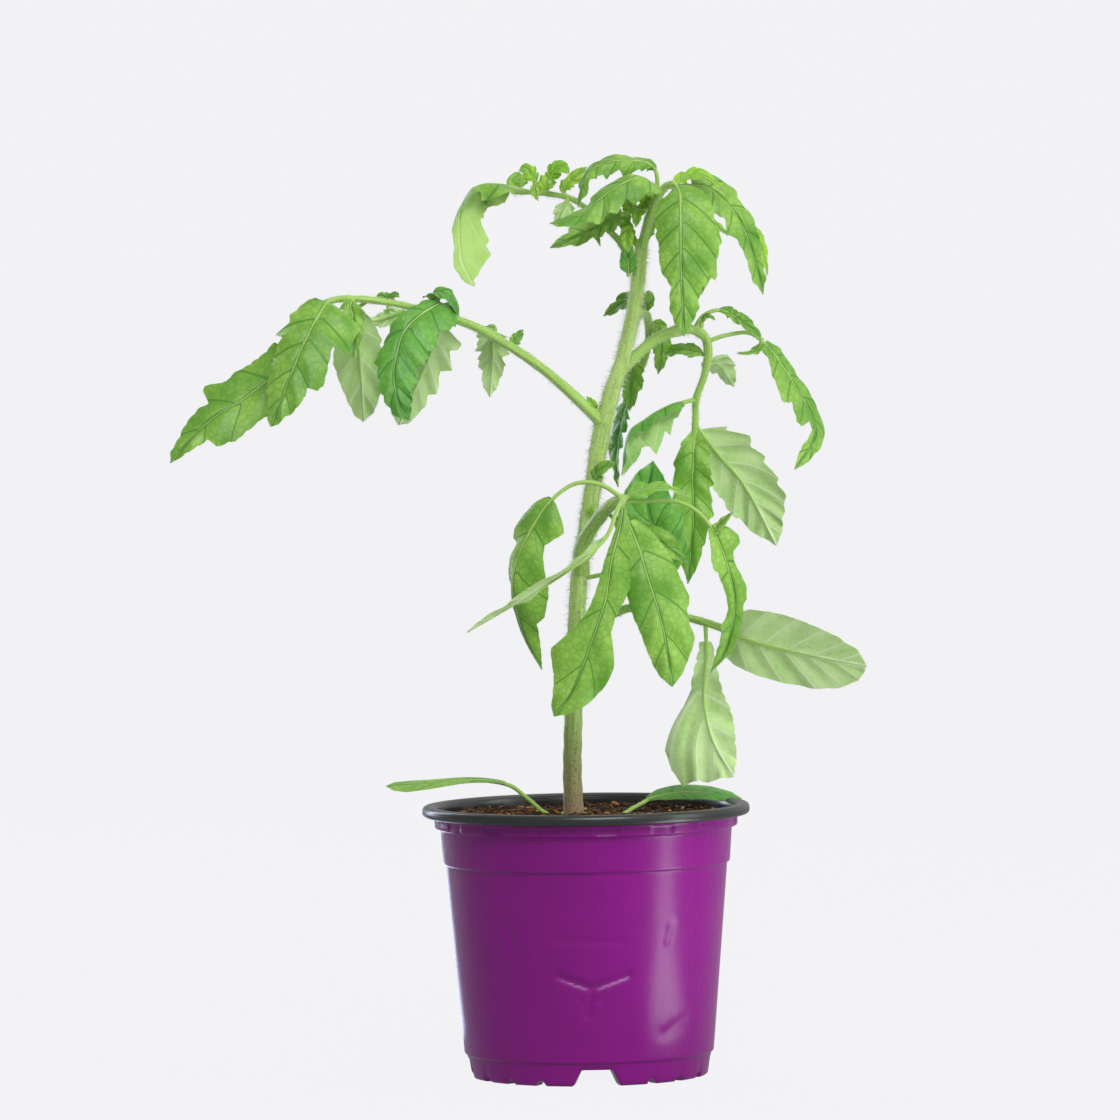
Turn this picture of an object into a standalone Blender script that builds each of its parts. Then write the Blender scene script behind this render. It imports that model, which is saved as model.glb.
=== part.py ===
# A young tomato plant in a round nursery pot: one thin pot, its soil, the stem, and compound
# leaves, each a stalk with its own leaflets. Lengths are millimetres and become metres in
# metres(). +Z is up, and the viewer's side is -Y.

import math

import bmesh
import bpy
from mathutils import Matrix, Vector

MM = 0.001
GAP = 0.3  # clearance between two pieces that touch

# The pot is one thin sheet, turned about POT_AXIS.
POT_AXIS = (20.0, 4.0)  # the leaves reach further left and forward: the box is centred on 0
RIM_RADIUS = 52.5
POT_HEIGHT = 87.0
WALL = 0.8
LIP_HEIGHT = 3.5
COLLAR_RADIUS = 48.6
FOOT_RADIUS = 38.4
FOOT_INSIDE_RADIUS = 32.2
FLOOR_HEIGHT = 6.0  # underside of the raised floor
RIDGES = ((79.8, 48.6, 46.7), (68.3, 45.8, 44.9), (7.4, 40.0, 39.2))  # height, radius above, below
RIDGE_HALF = 0.5
TURN_STEPS = 48

# Openings in the foot
NOTCH_COUNT = 4
NOTCH_TURN = 3.4  # degrees, from the middle of the front towards +X
NOTCH_TOP, NOTCH_BOTTOM, NOTCH_HEIGHT = 9.6, 15.8, 5.2
SCALLOP_ANGLES = (-28.0, -45.0, 28.0)  # degrees from each notch
SCALLOP_RADIUS = 1.8
DRAIN_COUNT, DRAIN_RADIUS, DRAIN_CIRCLE = 8, 3.0, 22.0

# Soil
SOIL_HEIGHT = 81.3
SOIL_LUMP = 0.8
STEM_HOLE = 3.6

BLADE_THICKNESS = 0.7
BLADE_ROWS = 9
PETIOLULE_WIDTH = 1.4
FOLD = 12.0  # degrees

GREEN, DARK_GREEN, PALE_GREEN, NEW_GREEN = "#5E9E2E", "#2F7A35", "#A3C878", "#A9C53A"
STALK_GREEN, STEM_GREEN, SOIL_BROWN, POT_PURPLE = "#9CC257", "#A5C35F", "#3A2B20", "#7B2380"

# The stem leans as it grows: x, y, z and radius
STEM = (
    (-4, 0, 62, 2.9), (-4, 0, 81, 3.2), (-4, 0, 88, 3.2), (-4, 0, 105, 2.9), (-1.5, 0, 156, 2.7),
    (1, 0, 172, 2.7), (4, 0, 191, 2.7), (6, 0, 203, 2.9), (9.5, 0, 217, 2.8), (14, 0, 230.5, 2.4),
    (18, 0, 247.5, 2.4), (20, 0, 264, 2.1),
)

# Each leaf: where it leaves the stem (a place between the stem's points), its stalk's further
# points and radii, and its leaflets. A leaflet leaves its stalk at a place between the stalk's
# points and runs through its own points to its tip; face is where its upper side looks, bare is
# the part of its length that is only a stalk, turn is its twist in degrees, and fold is how far
# each half of the blade rises from the midrib. A leaf's sweep moves its points along Y by that
# share of their distance from the stem, and LEVEL lifts what comes forward.
LEVEL = 0.09
LEAVES = {
    "left_leaf": {
        "at": 7.4,
        "sweep": 0.3,
        "stalk": (
            (-1, -3, 217.5, 1.5), (-5.5, -3, 222, 1.4), (-11, -4, 227, 1.3), (-17.5, -4, 232, 1.3),
            (-23, -4, 235.5, 1.2), (-32, -5, 240.5, 1.2), (-40, -6, 243, 1.1), (-48, -8, 244.5, 1.1),
            (-57, -10, 246.5, 1.0), (-69, -12, 248, 0.9), (-78, -14, 247.5, 0.9),
            (-85, -14, 243.5, 0.8), (-89, -14, 239, 0.8),
        ),
        "leaflets": {
            "inner_back": dict(at=5.4, route=((-28, 2, 237), (-28, 5, 229), (-29, 6, 217)), width=12,
                               face=(0, 1, 0.2), colour=PALE_GREEN),
            "middle_front": dict(at=8.4, route=((-57, -18, 241), (-57, -23, 230), (-54, -26, 213)),
                                 width=15, face=(0.1, -1, 0.3), colour=DARK_GREEN),
            "middle_back": dict(at=7.1, route=((-45, -1, 238), (-49, 1, 228), (-58, 2, 208)), width=14,
                                face=(-0.3, 1, 0.2), colour=PALE_GREEN),
            "middle_curl": dict(at=7.9, route=((-46, -12, 250), (-41, -15, 249), (-38, -16, 243)),
                                width=7, face=(0.2, -0.5, 1), colour=DARK_GREEN),
            "outer_front": dict(at=10.9, route=((-80, -19, 246), (-87, -25, 233), (-97, -28, 208)),
                                width=20, face=(-0.2, -1, 0.3), colour=GREEN),
            "outer_small": dict(at=10.2, route=((-72, -17, 246), (-71, -20, 240), (-71.5, -21, 229)),
                                width=8, face=(0.2, -1, 0.2), colour=GREEN),
            "outer_back": dict(at=9.8, route=((-71, -6, 243), (-70, -1, 231), (-69, 2, 209)), width=16,
                               face=(0, 1, 0.2), colour=PALE_GREEN),
            "tip": dict(at=13, route=((-95, -13.5, 226), (-105, -12, 217), (-117, -11, 209),
                        (-129, -10, 196)), width=18, face=(-0.3, -0.8, 0.5), colour=GREEN),
        },
    },
    "right_leaf": {
        "at": 8.6,
        "sweep": 0.45,
        "stalk": (
            (23, 1, 235, 1.7), (30, 3, 238.5, 1.7), (36, 5, 239.5, 1.5), (40.5, 6, 237, 1.3),
            (41.5, 7, 231.5, 1.2), (40, 8, 224, 1.1), (37.5, 9, 217, 1.0), (37, 9, 208, 0.9),
            (36, 10, 200, 0.8),
        ),
        "leaflets": {
            "tip": dict(at=9, route=((36, 9.5, 192), (36, 9, 177), (34, 12, 157)), width=14,
                        face=(0, -1, 0.2), colour=GREEN, bare=0.05),
            "upper_left": dict(at=5, route=((37, 9.5, 232), (33, 11, 232.5), (27, 13, 231)), width=8,
                               face=(0.1, -0.6, 0.8), colour=PALE_GREEN),
            "upper_right": dict(at=5.4, route=((43, 11, 229), (46, 14, 227), (50, 18, 221)), width=10,
                                face=(0.2, 1, 0.5), colour=PALE_GREEN),
            "lower_left": dict(at=7, route=((29, 7, 215), (21, 7, 210.5), (15, 7, 205), (13, 6, 192)),
                               width=22, face=(-0.3, 0.5, 0.8), colour=PALE_GREEN, bare=0.15, fold=-50),
            "lower_right": dict(at=7.9, route=((44, 8, 200), (53, 6, 189), (63, 5, 170)), width=23,
                                face=(0.3, 1, 0.3), colour=PALE_GREEN, bare=0.08),
            "high_narrow": dict(at=3.2, route=((40, 3, 244), (46, 2, 246), (54, 0, 241.5),
                                (59, -2, 237)), width=6, face=(0.2, -0.8, 0.6), colour=GREEN, bare=0.4),
            "outer_curl": dict(at=4.3, route=((48, 5, 238), (56, 3, 238.5), (63, 1, 232), (69.5, -1, 222),
                               (75, -3, 212), (75.5, -4, 205), (69, -5, 195)), width=10,
                               face=(0.4, -0.8, 0.3), colour=GREEN, bare=0.3, fold=25),
        },
    },
    "front_leaf": {
        "at": 4.35,
        "stalk": (
            (0, -8, 170, 2.3), (4, -17, 177.5, 2.0), (9, -26, 183.5, 1.6), (13, -31, 186, 1.2),
        ),
        "leaflets": {
            "left_droop": dict(at=4, route=((6, -32, 190.5), (-2, -32, 191), (-9.5, -33, 186),
                               (-16, -34, 177), (-21.5, -34, 165), (-22, -33, 155), (-18.5, -31, 142),
                               (-13.5, -30, 132)), width=19, face=(-0.6, -0.8, 0), colour=GREEN,
                               bare=0.3, fold=-40),
            "narrow_right": dict(at=3.9, route=((19, -29, 188.5), (27, -28, 189), (34, -26, 186)),
                                 width=7, face=(0.1, -0.5, 0.9), colour=PALE_GREEN),
            "right_droop": dict(at=3.4, route=((21, -26, 185), (31, -27, 184.5), (39, -28, 179),
                                (44.5, -29, 168), (48, -29, 153), (45.5, -28, 139), (40, -27, 130)),
                                width=11, face=(0.3, -1, 0.2), colour=GREEN, bare=0.4, fold=25),
            "long_left": dict(at=4, route=((10, -34.5, 176), (6, -35.5, 163), (0, -36, 145),
                              (-7, -37, 129), (-9, -38, 118)), width=21, face=(0, -1, 0.15),
                              colour=GREEN, bare=0.03),
            "long_right": dict(at=3.6, route=((17, -29.5, 174), (20, -31, 162), (24, -33, 148),
                               (27, -35, 136), (28.5, -36, 126)), width=20, face=(0.1, -1, 0.2),
                               colour=GREEN, bare=0.03),
            "short_right": dict(at=2.7, route=((16, -22, 174), (24, -24, 172), (33, -25, 165)), width=11,
                                face=(0.2, -1, 0.5), colour=GREEN, bare=0.1),
            "edge_left": dict(at=4, route=((10.5, -40, 182), (6, -43.5, 173), (-8, -46, 162),
                              (-37, -48, 145)), width=8, face=(-0.4, 0, 0.9), colour=PALE_GREEN,
                              bare=0.25),
        },
    },
    "low_leaf": {
        "at": 3.75,
        "sweep": -0.25,
        "stalk": (
            (8, 2.5, 147, 1.3), (16, 3, 149.5, 1.2), (26, 3, 148, 1.1), (36, 4, 145, 1.0),
            (46, 2, 142, 0.9),
        ),
        "leaflets": {
            "tip": dict(at=5, route=((53, -1, 139), (65, -3, 134.5), (79, -6, 130), (89, -8, 128.5)),
                        width=23, face=(0.1, 0.9, 0.4), colour=PALE_GREEN, bare=0.05),
            "hanging": dict(at=4.3, route=((39, 0, 133), (38, -2, 120), (40.5, -4, 107), (47, -5, 95)),
                            width=22, face=(0.2, 1, 0.1), colour=PALE_GREEN, bare=0.12),
        },
    },
    "back_leaf": {
        "at": 9.1,
        "stalk": (
            (18, 14, 242, 1.3), (22, 26, 243, 1.1), (22, 36, 232, 1.0), (17, 41, 218, 0.8),
        ),
        "leaflets": {
            "upper_left": dict(at=2.1, route=((21, 29, 248), (16, 30, 248), (8, 30, 243)), width=9,
                               face=(0, -0.7, 0.7), colour=GREEN),
            "right": dict(at=2.2, route=((25.5, 31, 239), (26.5, 32, 233), (25.5, 32, 224)), width=8,
                          face=(0.3, -1, 0.2), colour=PALE_GREEN),
            "left": dict(at=3.2, route=((17, 36, 229), (17, 36, 222), (16, 35, 212)), width=10,
                         face=(-0.3, -1, 0.2), colour=PALE_GREEN),
            "tip": dict(at=4, route=((14, 43, 210), (12, 44, 199), (12, 44, 187)), width=12,
                        face=(-1, -0.4, 0.1), colour=DARK_GREEN),
        },
    },
    "high_left_leaf": {
        "at": 10.5,
        "sweep": -0.3,
        "stalk": (
            (14, -2, 266, 1.0), (10, -3, 271, 1.0), (6, -4, 275.5, 0.9), (-1, -6, 281, 0.8),
            (-7, -7, 283, 0.8), (-14, -8, 284, 0.7), (-21, -9, 284.5, 0.7),
        ),
        "leaflets": {
            "tip": dict(at=7, route=((-28, -10.5, 284), (-33, -12, 277), (-34, -13.5, 268),
                        (-33, -14, 253)), width=16, face=(-0.5, -0.8, 0.3), colour=GREEN, turn=-70),
            "outer_top": dict(at=6.5, route=((-20, -5, 287.5), (-17, -3.5, 288.5), (-14, -3, 291)),
                              width=8, face=(-0.4, -0.8, 0.6), colour=PALE_GREEN),
            "middle_top": dict(at=5.4, route=((-10, -4.5, 286), (-9, -3, 288), (-7, -2, 291)), width=7,
                               face=(-0.3, -1, 0.4), colour=NEW_GREEN),
            "inner_top": dict(at=4.6, route=((-4, -5, 285), (-1, -4, 288), (3, -3, 291.5)), width=6,
                              face=(-0.4, -0.8, 0.4), colour=NEW_GREEN),
            "inner_low": dict(at=4.3, route=((-4, -8.5, 279), (-5, -10, 277), (-7, -10.5, 273)), width=8,
                              face=(0.4, 1, 0.2), colour=PALE_GREEN),
        },
    },
    "top_leaf": {
        "at": 10.95,
        "sweep": 0.15,
        "stalk": (
            (22.5, -3, 273, 1.4), (25, -7, 280, 1.2), (28, -11, 284.5, 1.0), (31, -14, 285.5, 0.8),
        ),
        "leaflets": {
            "tip": dict(at=4, route=((32.5, -19.5, 282), (32.5, -24, 273), (32.5, -27, 256),
                        (33, -30, 237)), width=22, face=(0, -1, 0.3), colour=GREEN, bare=0.03),
            "left_long": dict(at=2.5, route=((20, -14, 288), (11, -22, 285), (-8, -29, 273)), width=14,
                              face=(-0.3, -0.7, 0.7), colour=DARK_GREEN),
            "left_top": dict(at=2.2, route=((18, -7, 289.5), (9, -8, 291), (2, -10, 285), (0, -12, 275)),
                             width=10, face=(-0.4, -0.3, 0.9), colour=GREEN),
            "left_low": dict(at=1.6, route=((15, -6, 276), (5, -7, 271), (-9, -7, 265)), width=9,
                             face=(0, -1, 0.5), colour=GREEN, bare=0.3),
            "right_back": dict(at=2.2, route=((33, -9, 276.5), (41, -11, 268), (39, -12, 250)), width=11,
                               face=(0.5, -1, 0.2), colour=PALE_GREEN),
            "right_top": dict(at=3.2, route=((35, -10, 287.5), (40, -9, 288), (47, -10, 283.5)), width=7,
                              face=(0.2, -0.5, 0.9), colour=NEW_GREEN),
            "right_droop": dict(at=2.9, route=((36, -5, 285), (43, -2, 283.5), (51, -3, 275),
                                (56, -4, 263), (59, -5, 250)), width=13, face=(0.4, -0.8, 0.4),
                                colour=GREEN, bare=0.22),
            "right_far": dict(at=2.0, route=((36, 0, 280), (50, 5, 277), (58, 8, 267), (61, 10, 256)),
                              width=8, face=(0.6, -0.6, 0.4), colour=NEW_GREEN, bare=0.35),
        },
    },
}

# Leaflets that grow from the stem itself: the low upright leaf, the two seed leaves that lie
# over the soil, and the young leaves around the growing point.
STEM_LEAVES = {
    "upright_leaf": dict(at=4.2, route=((10, -2, 161), (21, -6.5, 160.5), (26, -9, 165), (23, -9, 175),
                         (21, -8, 184), (23, -7, 197)), width=20, face=(0, -1, 0.1),
                         colour=DARK_GREEN, bare=0.42),
    "seed_leaf_left": dict(at=1.5, route=((-12, -0.5, 84), (-18, -1, 88), (-25, -1, 92.5),
                           (-38, 0, 94), (-52, 0, 93.5), (-64, 0, 93.5)), width=9, face=(0, -0.25, 1),
                           colour=GREEN, bare=0.36),
    "seed_leaf_right": dict(at=1.5, route=((7, 2, 84.5), (14, 5, 86), (20, 8, 88), (28, 12, 90.5),
                            (40, 18, 90), (50, 22, 89)), width=9, face=(0, -0.35, 1),
                            colour=GREEN, bare=0.36),
    "young_leaf_left": dict(at=11, route=((17, -1, 268.5), (14, -2, 273), (13, -3, 279)), width=5,
                            face=(0.8, -0.6, 0.1), colour=NEW_GREEN),
    "young_leaf_right": dict(at=11, route=((22, 2.5, 268.5), (23.5, 4, 273), (24, 6, 280)), width=5,
                             face=(-0.6, -0.8, 0.1), colour=NEW_GREEN),
}


def metres(point):
    return Vector(point) * MM


def clear_scene():
    for obj in list(bpy.data.objects):
        bpy.data.objects.remove(obj, do_unlink=True)


def paint(obj, colour, roughness):
    """Give the object its own Principled material; colour is an sRGB hex value."""
    material = bpy.data.materials.new(obj.name)
    material.use_nodes = True
    shader = material.node_tree.nodes["Principled BSDF"]
    srgb = [int(colour[i : i + 2], 16) / 255 for i in (1, 3, 5)]
    linear = [c / 12.92 if c < 0.04045 else ((c + 0.055) / 1.055) ** 2.4 for c in srgb]
    shader.inputs["Base Color"].default_value = (*linear, 1)
    shader.inputs["Roughness"].default_value = roughness
    shader.inputs["Metallic"].default_value = 0.0
    obj.data.materials.append(material)


def add_object(name, data, parent):
    obj = bpy.data.objects.new(name, data)
    bpy.context.scene.collection.objects.link(obj)
    obj.parent = parent
    return obj


def mesh_of(name, points, faces):
    """A mesh from points in millimetres, with its faces turned outwards."""
    mesh = bpy.data.meshes.new(name)
    mesh.from_pydata([metres(p) for p in points], [], faces)
    bm = bmesh.new()
    bm.from_mesh(mesh)
    bmesh.ops.recalc_face_normals(bm, faces=bm.faces)
    bm.to_mesh(mesh)
    bm.free()
    mesh.update()
    return mesh


def along(points, place):
    """The point at a place between control points, on a smooth curve through all of them."""
    last = len(points) - 1
    i = min(max(int(place), 0), last - 1)
    t = place - i
    a, b = points[i], points[i + 1]
    before = points[i - 1] if i else 2 * a - b
    after = points[i + 2] if i + 2 <= last else 2 * b - a
    return 0.5 * (
        2 * b * t
        + 2 * a * (1 - t)
        + (b - before) * (t - 2 * t**2 + t**3)
        + (after - a) * (t**3 - t**2)
        + (b - a) * (-t + 3 * t**2 - 2 * t**3)
    )


def evenly(points, count):
    """Count points at equal distances along the smooth curve."""
    last = len(points) - 1
    fine = [along(points, last * i / 400) for i in range(401)]
    lengths = [0.0]
    for a, b in zip(fine, fine[1:]):
        lengths.append(lengths[-1] + (b.xyz - a.xyz).length)
    found, j = [], 0
    for i in range(count):
        goal = lengths[-1] * i / (count - 1)
        while j < 399 and lengths[j + 1] < goal:
            j += 1
        share = (goal - lengths[j]) / max(lengths[j + 1] - lengths[j], 1e-9)
        found.append(fine[j].lerp(fine[j + 1], min(share, 1.0)))
    return found


def leave(parent, at, towards, own_radius):
    """Where a piece starts that grows from parent at a place, on the way to a point."""
    here = along(parent, at)
    axis = (along(parent, min(at + 0.05, len(parent) - 1)) - along(parent, max(at - 0.05, 0))).xyz
    axis.normalize()
    way = (Vector(towards).xyz - here.xyz).normalized()
    cosine = abs(way.dot(axis))
    sine = max(math.sqrt(1 - cosine**2), 1e-3)
    side = (here.w + GAP + own_radius * cosine) / sine
    if at >= len(parent) - 1 and way.dot(axis) > 0:
        side = min(side, (GAP + own_radius * sine) / cosine)
    return here.xyz + way * side


def tube(name, points, step, parent):
    """A round stalk: points hold x, y, z and radius."""
    length = sum((b.xyz - a.xyz).length for a, b in zip(points, points[1:]))
    path = evenly(points, max(3, round(length / step)))
    curve = bpy.data.curves.new(name, "CURVE")
    curve.dimensions = "3D"
    curve.bevel_depth = MM
    curve.bevel_resolution = 2
    curve.use_fill_caps = True
    spline = curve.splines.new("POLY")
    spline.points.add(len(path) - 1)
    for knot, place in zip(spline.points, path):
        knot.co = (*metres(place.xyz), 1)
        knot.radius = place.w
    return add_object(name, curve, parent)


def outline(share, bare):
    """Half of a blade's width, from 0 to 1, at a share of the whole length."""
    if share <= bare:
        return 0.0
    s = (share - bare) / (1 - bare)
    return math.sin(math.pi * s**0.8) ** 0.8 if s < 1 else 0.0


def leaflet(name, parent_points, parent, at, route, width, face, colour, bare=0.12, turn=0.0,
            fold=FOLD):
    """A thin blade, folded a little along its midrib, on a short stalk of its own."""
    own = PETIOLULE_WIDTH / 2
    base = leave(parent_points, at, route[0], own)
    path = evenly([base] + [Vector(p) for p in route], BLADE_ROWS)
    runs = [
        (path[min(i + 1, BLADE_ROWS - 1)] - path[max(i - 1, 0)]).normalized() for i in range(BLADE_ROWS)
    ]
    middle = BLADE_ROWS // 2
    ups = [Vector(face)] * BLADE_ROWS
    for order in (range(middle, BLADE_ROWS), range(middle, -1, -1)):
        near = Vector(face)
        for i in order:
            near = (near - near.dot(runs[i]) * runs[i]).normalized()
            ups[i] = near
    points = []
    for i, (place, run, up) in enumerate(zip(path, runs, ups)):
        share = i / (BLADE_ROWS - 1)
        up = Matrix.Rotation(math.radians(turn) * (share - 0.5), 3, run) @ up
        side = run.cross(up)
        half = max(own, width / 2 * outline(share, bare))
        lift = half * math.sin(math.radians(fold))
        reach = half * math.cos(math.radians(fold))
        points += [place - side * reach + up * lift, place, place + side * reach + up * lift]
    faces = []
    for i in range(BLADE_ROWS - 1):
        for j in (3 * i, 3 * i + 1):
            faces.append((j, j + 1, j + 4, j + 3))
    obj = add_object(name, mesh_of(name, points, faces), parent)
    solid = obj.modifiers.new("thickness", "SOLIDIFY")
    solid.thickness = BLADE_THICKNESS * MM
    solid.offset = 0
    paint(obj, colour, 0.5)
    return obj


def turned(name, profile, parent):
    """A closed profile of (radius, height) points turned about the pot's axis."""
    rings, points, faces = [], [], []
    for radius, height in profile:
        if radius == 0:
            rings.append([len(points)] * TURN_STEPS)
            points.append((0, 0, height))
            continue
        rings.append(list(range(len(points), len(points) + TURN_STEPS)))
        for i in range(TURN_STEPS):
            angle = 2 * math.pi * (i + 0.5) / TURN_STEPS
            points.append((radius * math.cos(angle), radius * math.sin(angle), height))
    for a, b in zip(rings, rings[1:] + rings[:1]):
        for i in range(TURN_STEPS):
            j = (i + 1) % TURN_STEPS
            corners = list(dict.fromkeys((a[i], a[j], b[j], b[i])))
            if len(corners) > 2:
                faces.append(corners)
    mesh = mesh_of(name, points, faces)
    return add_object(name, mesh, parent)


def wall_profile(inset):
    """The pot's side between collar and foot, moved in by inset: from the top down."""
    side = []
    for height, above, below in RIDGES:
        side += [(above - inset, height + RIDGE_HALF), (below - inset, height - RIDGE_HALF)]
    return side


def prism(section, near, far, angle):
    """Points and faces of a bar with the given section (across, height) lying along a radius."""
    turn = Matrix.Rotation(math.radians(angle), 3, "Z")
    points = [turn @ Vector((x, -r, z)) for r in (near, far) for x, z in section]
    n = len(section)
    faces = [tuple(range(n - 1, -1, -1)), tuple(range(n, 2 * n))]
    faces += [(i, (i + 1) % n, n + (i + 1) % n, n + i) for i in range(n)]
    return points, faces


def foot_cutter(parent):
    """The notches and scallops of the foot ring and the drain holes of the floor."""
    points, faces = [], []

    def add(more_points, more_faces):
        start = len(points)
        points.extend(more_points)
        faces.extend(tuple(start + i for i in f) for f in more_faces)

    flare = (NOTCH_BOTTOM - NOTCH_TOP) / 2 / NOTCH_HEIGHT
    low = NOTCH_BOTTOM / 2 + flare
    notch = ((-low, -1), (low, -1), (NOTCH_TOP / 2, NOTCH_HEIGHT), (-NOTCH_TOP / 2, NOTCH_HEIGHT))
    turns = [math.pi * (i + 0.5) / 6 for i in range(12)]
    circle = [(math.cos(turn), math.sin(turn)) for turn in turns]
    scallop = [(SCALLOP_RADIUS * x, SCALLOP_RADIUS * z) for x, z in circle]
    for k in range(NOTCH_COUNT):
        angle = NOTCH_TURN + 360 * k / NOTCH_COUNT
        add(*prism(notch, FOOT_INSIDE_RADIUS - 2, FOOT_RADIUS + 4, angle))
        for turn in SCALLOP_ANGLES:
            add(*prism(scallop, FOOT_RADIUS - WALL - 0.6, FOOT_RADIUS + 4, angle + turn))
    for k in range(DRAIN_COUNT):
        angle = 2 * math.pi * (k + 0.5) / DRAIN_COUNT
        cx, cy = DRAIN_CIRCLE * math.cos(angle), DRAIN_CIRCLE * math.sin(angle)
        hole = [
            (cx + DRAIN_RADIUS * x, cy + DRAIN_RADIUS * y, z)
            for z in (FLOOR_HEIGHT - 1, FLOOR_HEIGHT + WALL + 1)
            for x, y in circle
        ]
        sides = [(i, (i + 1) % 12, 12 + (i + 1) % 12, 12 + i) for i in range(12)]
        add(hole, [tuple(range(11, -1, -1)), tuple(range(12, 24))] + sides)
    return cutter("foot_cutter", mesh_of("foot_cutter", points, faces), parent)


def cutter(name, mesh, parent):
    obj = add_object(name, mesh, parent)
    obj.hide_render = True
    obj.display_type = "WIRE"
    return obj


def cut(obj, tool):
    boolean = obj.modifiers.new(tool.name, "BOOLEAN")
    boolean.operation = "DIFFERENCE"
    boolean.solver = "EXACT"
    boolean.object = tool


def make_pot(parent):
    top, lip_low = POT_HEIGHT, POT_HEIGHT - LIP_HEIGHT
    inside = COLLAR_RADIUS - WALL
    outer = [
        (RIM_RADIUS - 1.0, top), (RIM_RADIUS, top - 0.9), (RIM_RADIUS, lip_low + 0.5),
        (RIM_RADIUS - 0.7, lip_low), (COLLAR_RADIUS, lip_low),
    ]
    foot = [
        (FOOT_RADIUS, 0.9), (FOOT_RADIUS - 0.8, 0), (FOOT_INSIDE_RADIUS + 0.8, 0),
        (FOOT_INSIDE_RADIUS, 0.8), (FOOT_INSIDE_RADIUS - 1, FLOOR_HEIGHT), (0, FLOOR_HEIGHT),
        (0, FLOOR_HEIGHT + WALL), (FOOT_INSIDE_RADIUS - 0.5, FLOOR_HEIGHT + WALL),
        (FOOT_INSIDE_RADIUS + 0.9, WALL), (FOOT_RADIUS - 1.0, WALL),
    ]
    inner = list(reversed(wall_profile(WALL))) + [(inside, top - 0.8), (inside + 0.8, top)]
    pot = turned("pot", outer + wall_profile(0) + foot + inner, parent)
    cut(pot, foot_cutter(parent))
    paint(pot, POT_PURPLE, 0.35)


def make_soil(parent):
    """The soil stands on the raised floor, follows the wall, and has a lumpy top."""
    bottom = FLOOR_HEIGHT + WALL + GAP
    side = [p for p in wall_profile(WALL + GAP) if bottom < p[1] < SOIL_HEIGHT - 1]
    low_radius = FOOT_INSIDE_RADIUS + 2
    profile = [(0, SOIL_HEIGHT), (12, SOIL_HEIGHT), (24, SOIL_HEIGHT), (36, SOIL_HEIGHT),
               (COLLAR_RADIUS - WALL - 1.2, SOIL_HEIGHT - 0.3)]
    profile += side + [(low_radius, bottom), (0, bottom)]
    soil = turned("soil", profile, parent)
    for vertex in soil.data.vertices:
        x, y, z = vertex.co / MM
        if z > SOIL_HEIGHT - 1:
            wave = math.sin(0.31 * x + 0.4) * math.cos(0.27 * y) + math.sin(0.53 * y - 0.2 * x)
            vertex.co.z += SOIL_LUMP * MM * wave / 2
    x, y = STEM[0][0], STEM[0][1]
    ring = [(math.cos(math.pi * i / 8), math.sin(math.pi * i / 8)) for i in range(16)]
    low = STEM[0][2] - GAP
    points = [(x + STEM_HOLE * c, y + STEM_HOLE * s, z) for z in (low, SOIL_HEIGHT + 5) for c, s in ring]
    faces = [tuple(range(15, -1, -1)), tuple(range(16, 32))]
    faces += [(i, (i + 1) % 16, 16 + (i + 1) % 16, 16 + i) for i in range(16)]
    cut(soil, cutter("stem_hole_cutter", mesh_of("stem_hole_cutter", points, faces), parent))
    paint(soil, SOIL_BROWN, 0.95)


def swept(point, sweep, centre):
    """A leaf's point, moved forward or back in step with its distance from the stem."""
    x, y, z, *radius = point
    shift = sweep * (x - centre)
    return Vector((x, y + shift, z - LEVEL * shift, *radius))


def make_plant(parent):
    stem_points = [Vector(p) for p in STEM]
    paint(tube("stem", stem_points, 8.0, parent), STEM_GREEN, 0.5)
    for name, leaf in STEM_LEAVES.items():
        leaflet(name, stem_points, parent, **leaf)
    for name, leaf in LEAVES.items():
        sweep, centre = leaf.get("sweep", 0), along(stem_points, leaf["at"]).x
        stalk = [swept(p, sweep, centre) for p in leaf["stalk"]]
        base = leave(stem_points, leaf["at"], stalk[0], stalk[0].w)
        stalk.insert(0, Vector((*base, stalk[0].w)))
        paint(tube(f"{name}_stalk", stalk, 5.0, parent), STALK_GREEN, 0.5)
        for part, blade in leaf["leaflets"].items():
            route = [swept(p, sweep, centre) for p in blade["route"]]
            leaflet(f"{name}_{part}", stalk, parent, **{**blade, "route": route})


def main():
    clear_scene()
    axis = bpy.data.objects.new("pot_axis", None)
    bpy.context.scene.collection.objects.link(axis)
    axis.location = metres((*POT_AXIS, 0))
    make_pot(axis)
    make_soil(axis)
    make_plant(axis)
    for obj in bpy.data.objects:
        if obj.type == "MESH":
            obj.data.shade_smooth()
            obj.data.set_sharp_from_angle(angle=math.radians(40))


main()
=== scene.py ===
# A young tomato plant in a purple nursery pot: the looks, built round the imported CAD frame.
# Lengths in the dictionaries are millimetres from the pot's axis at floor level, +Z up, viewer at -Y.

import math

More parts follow.
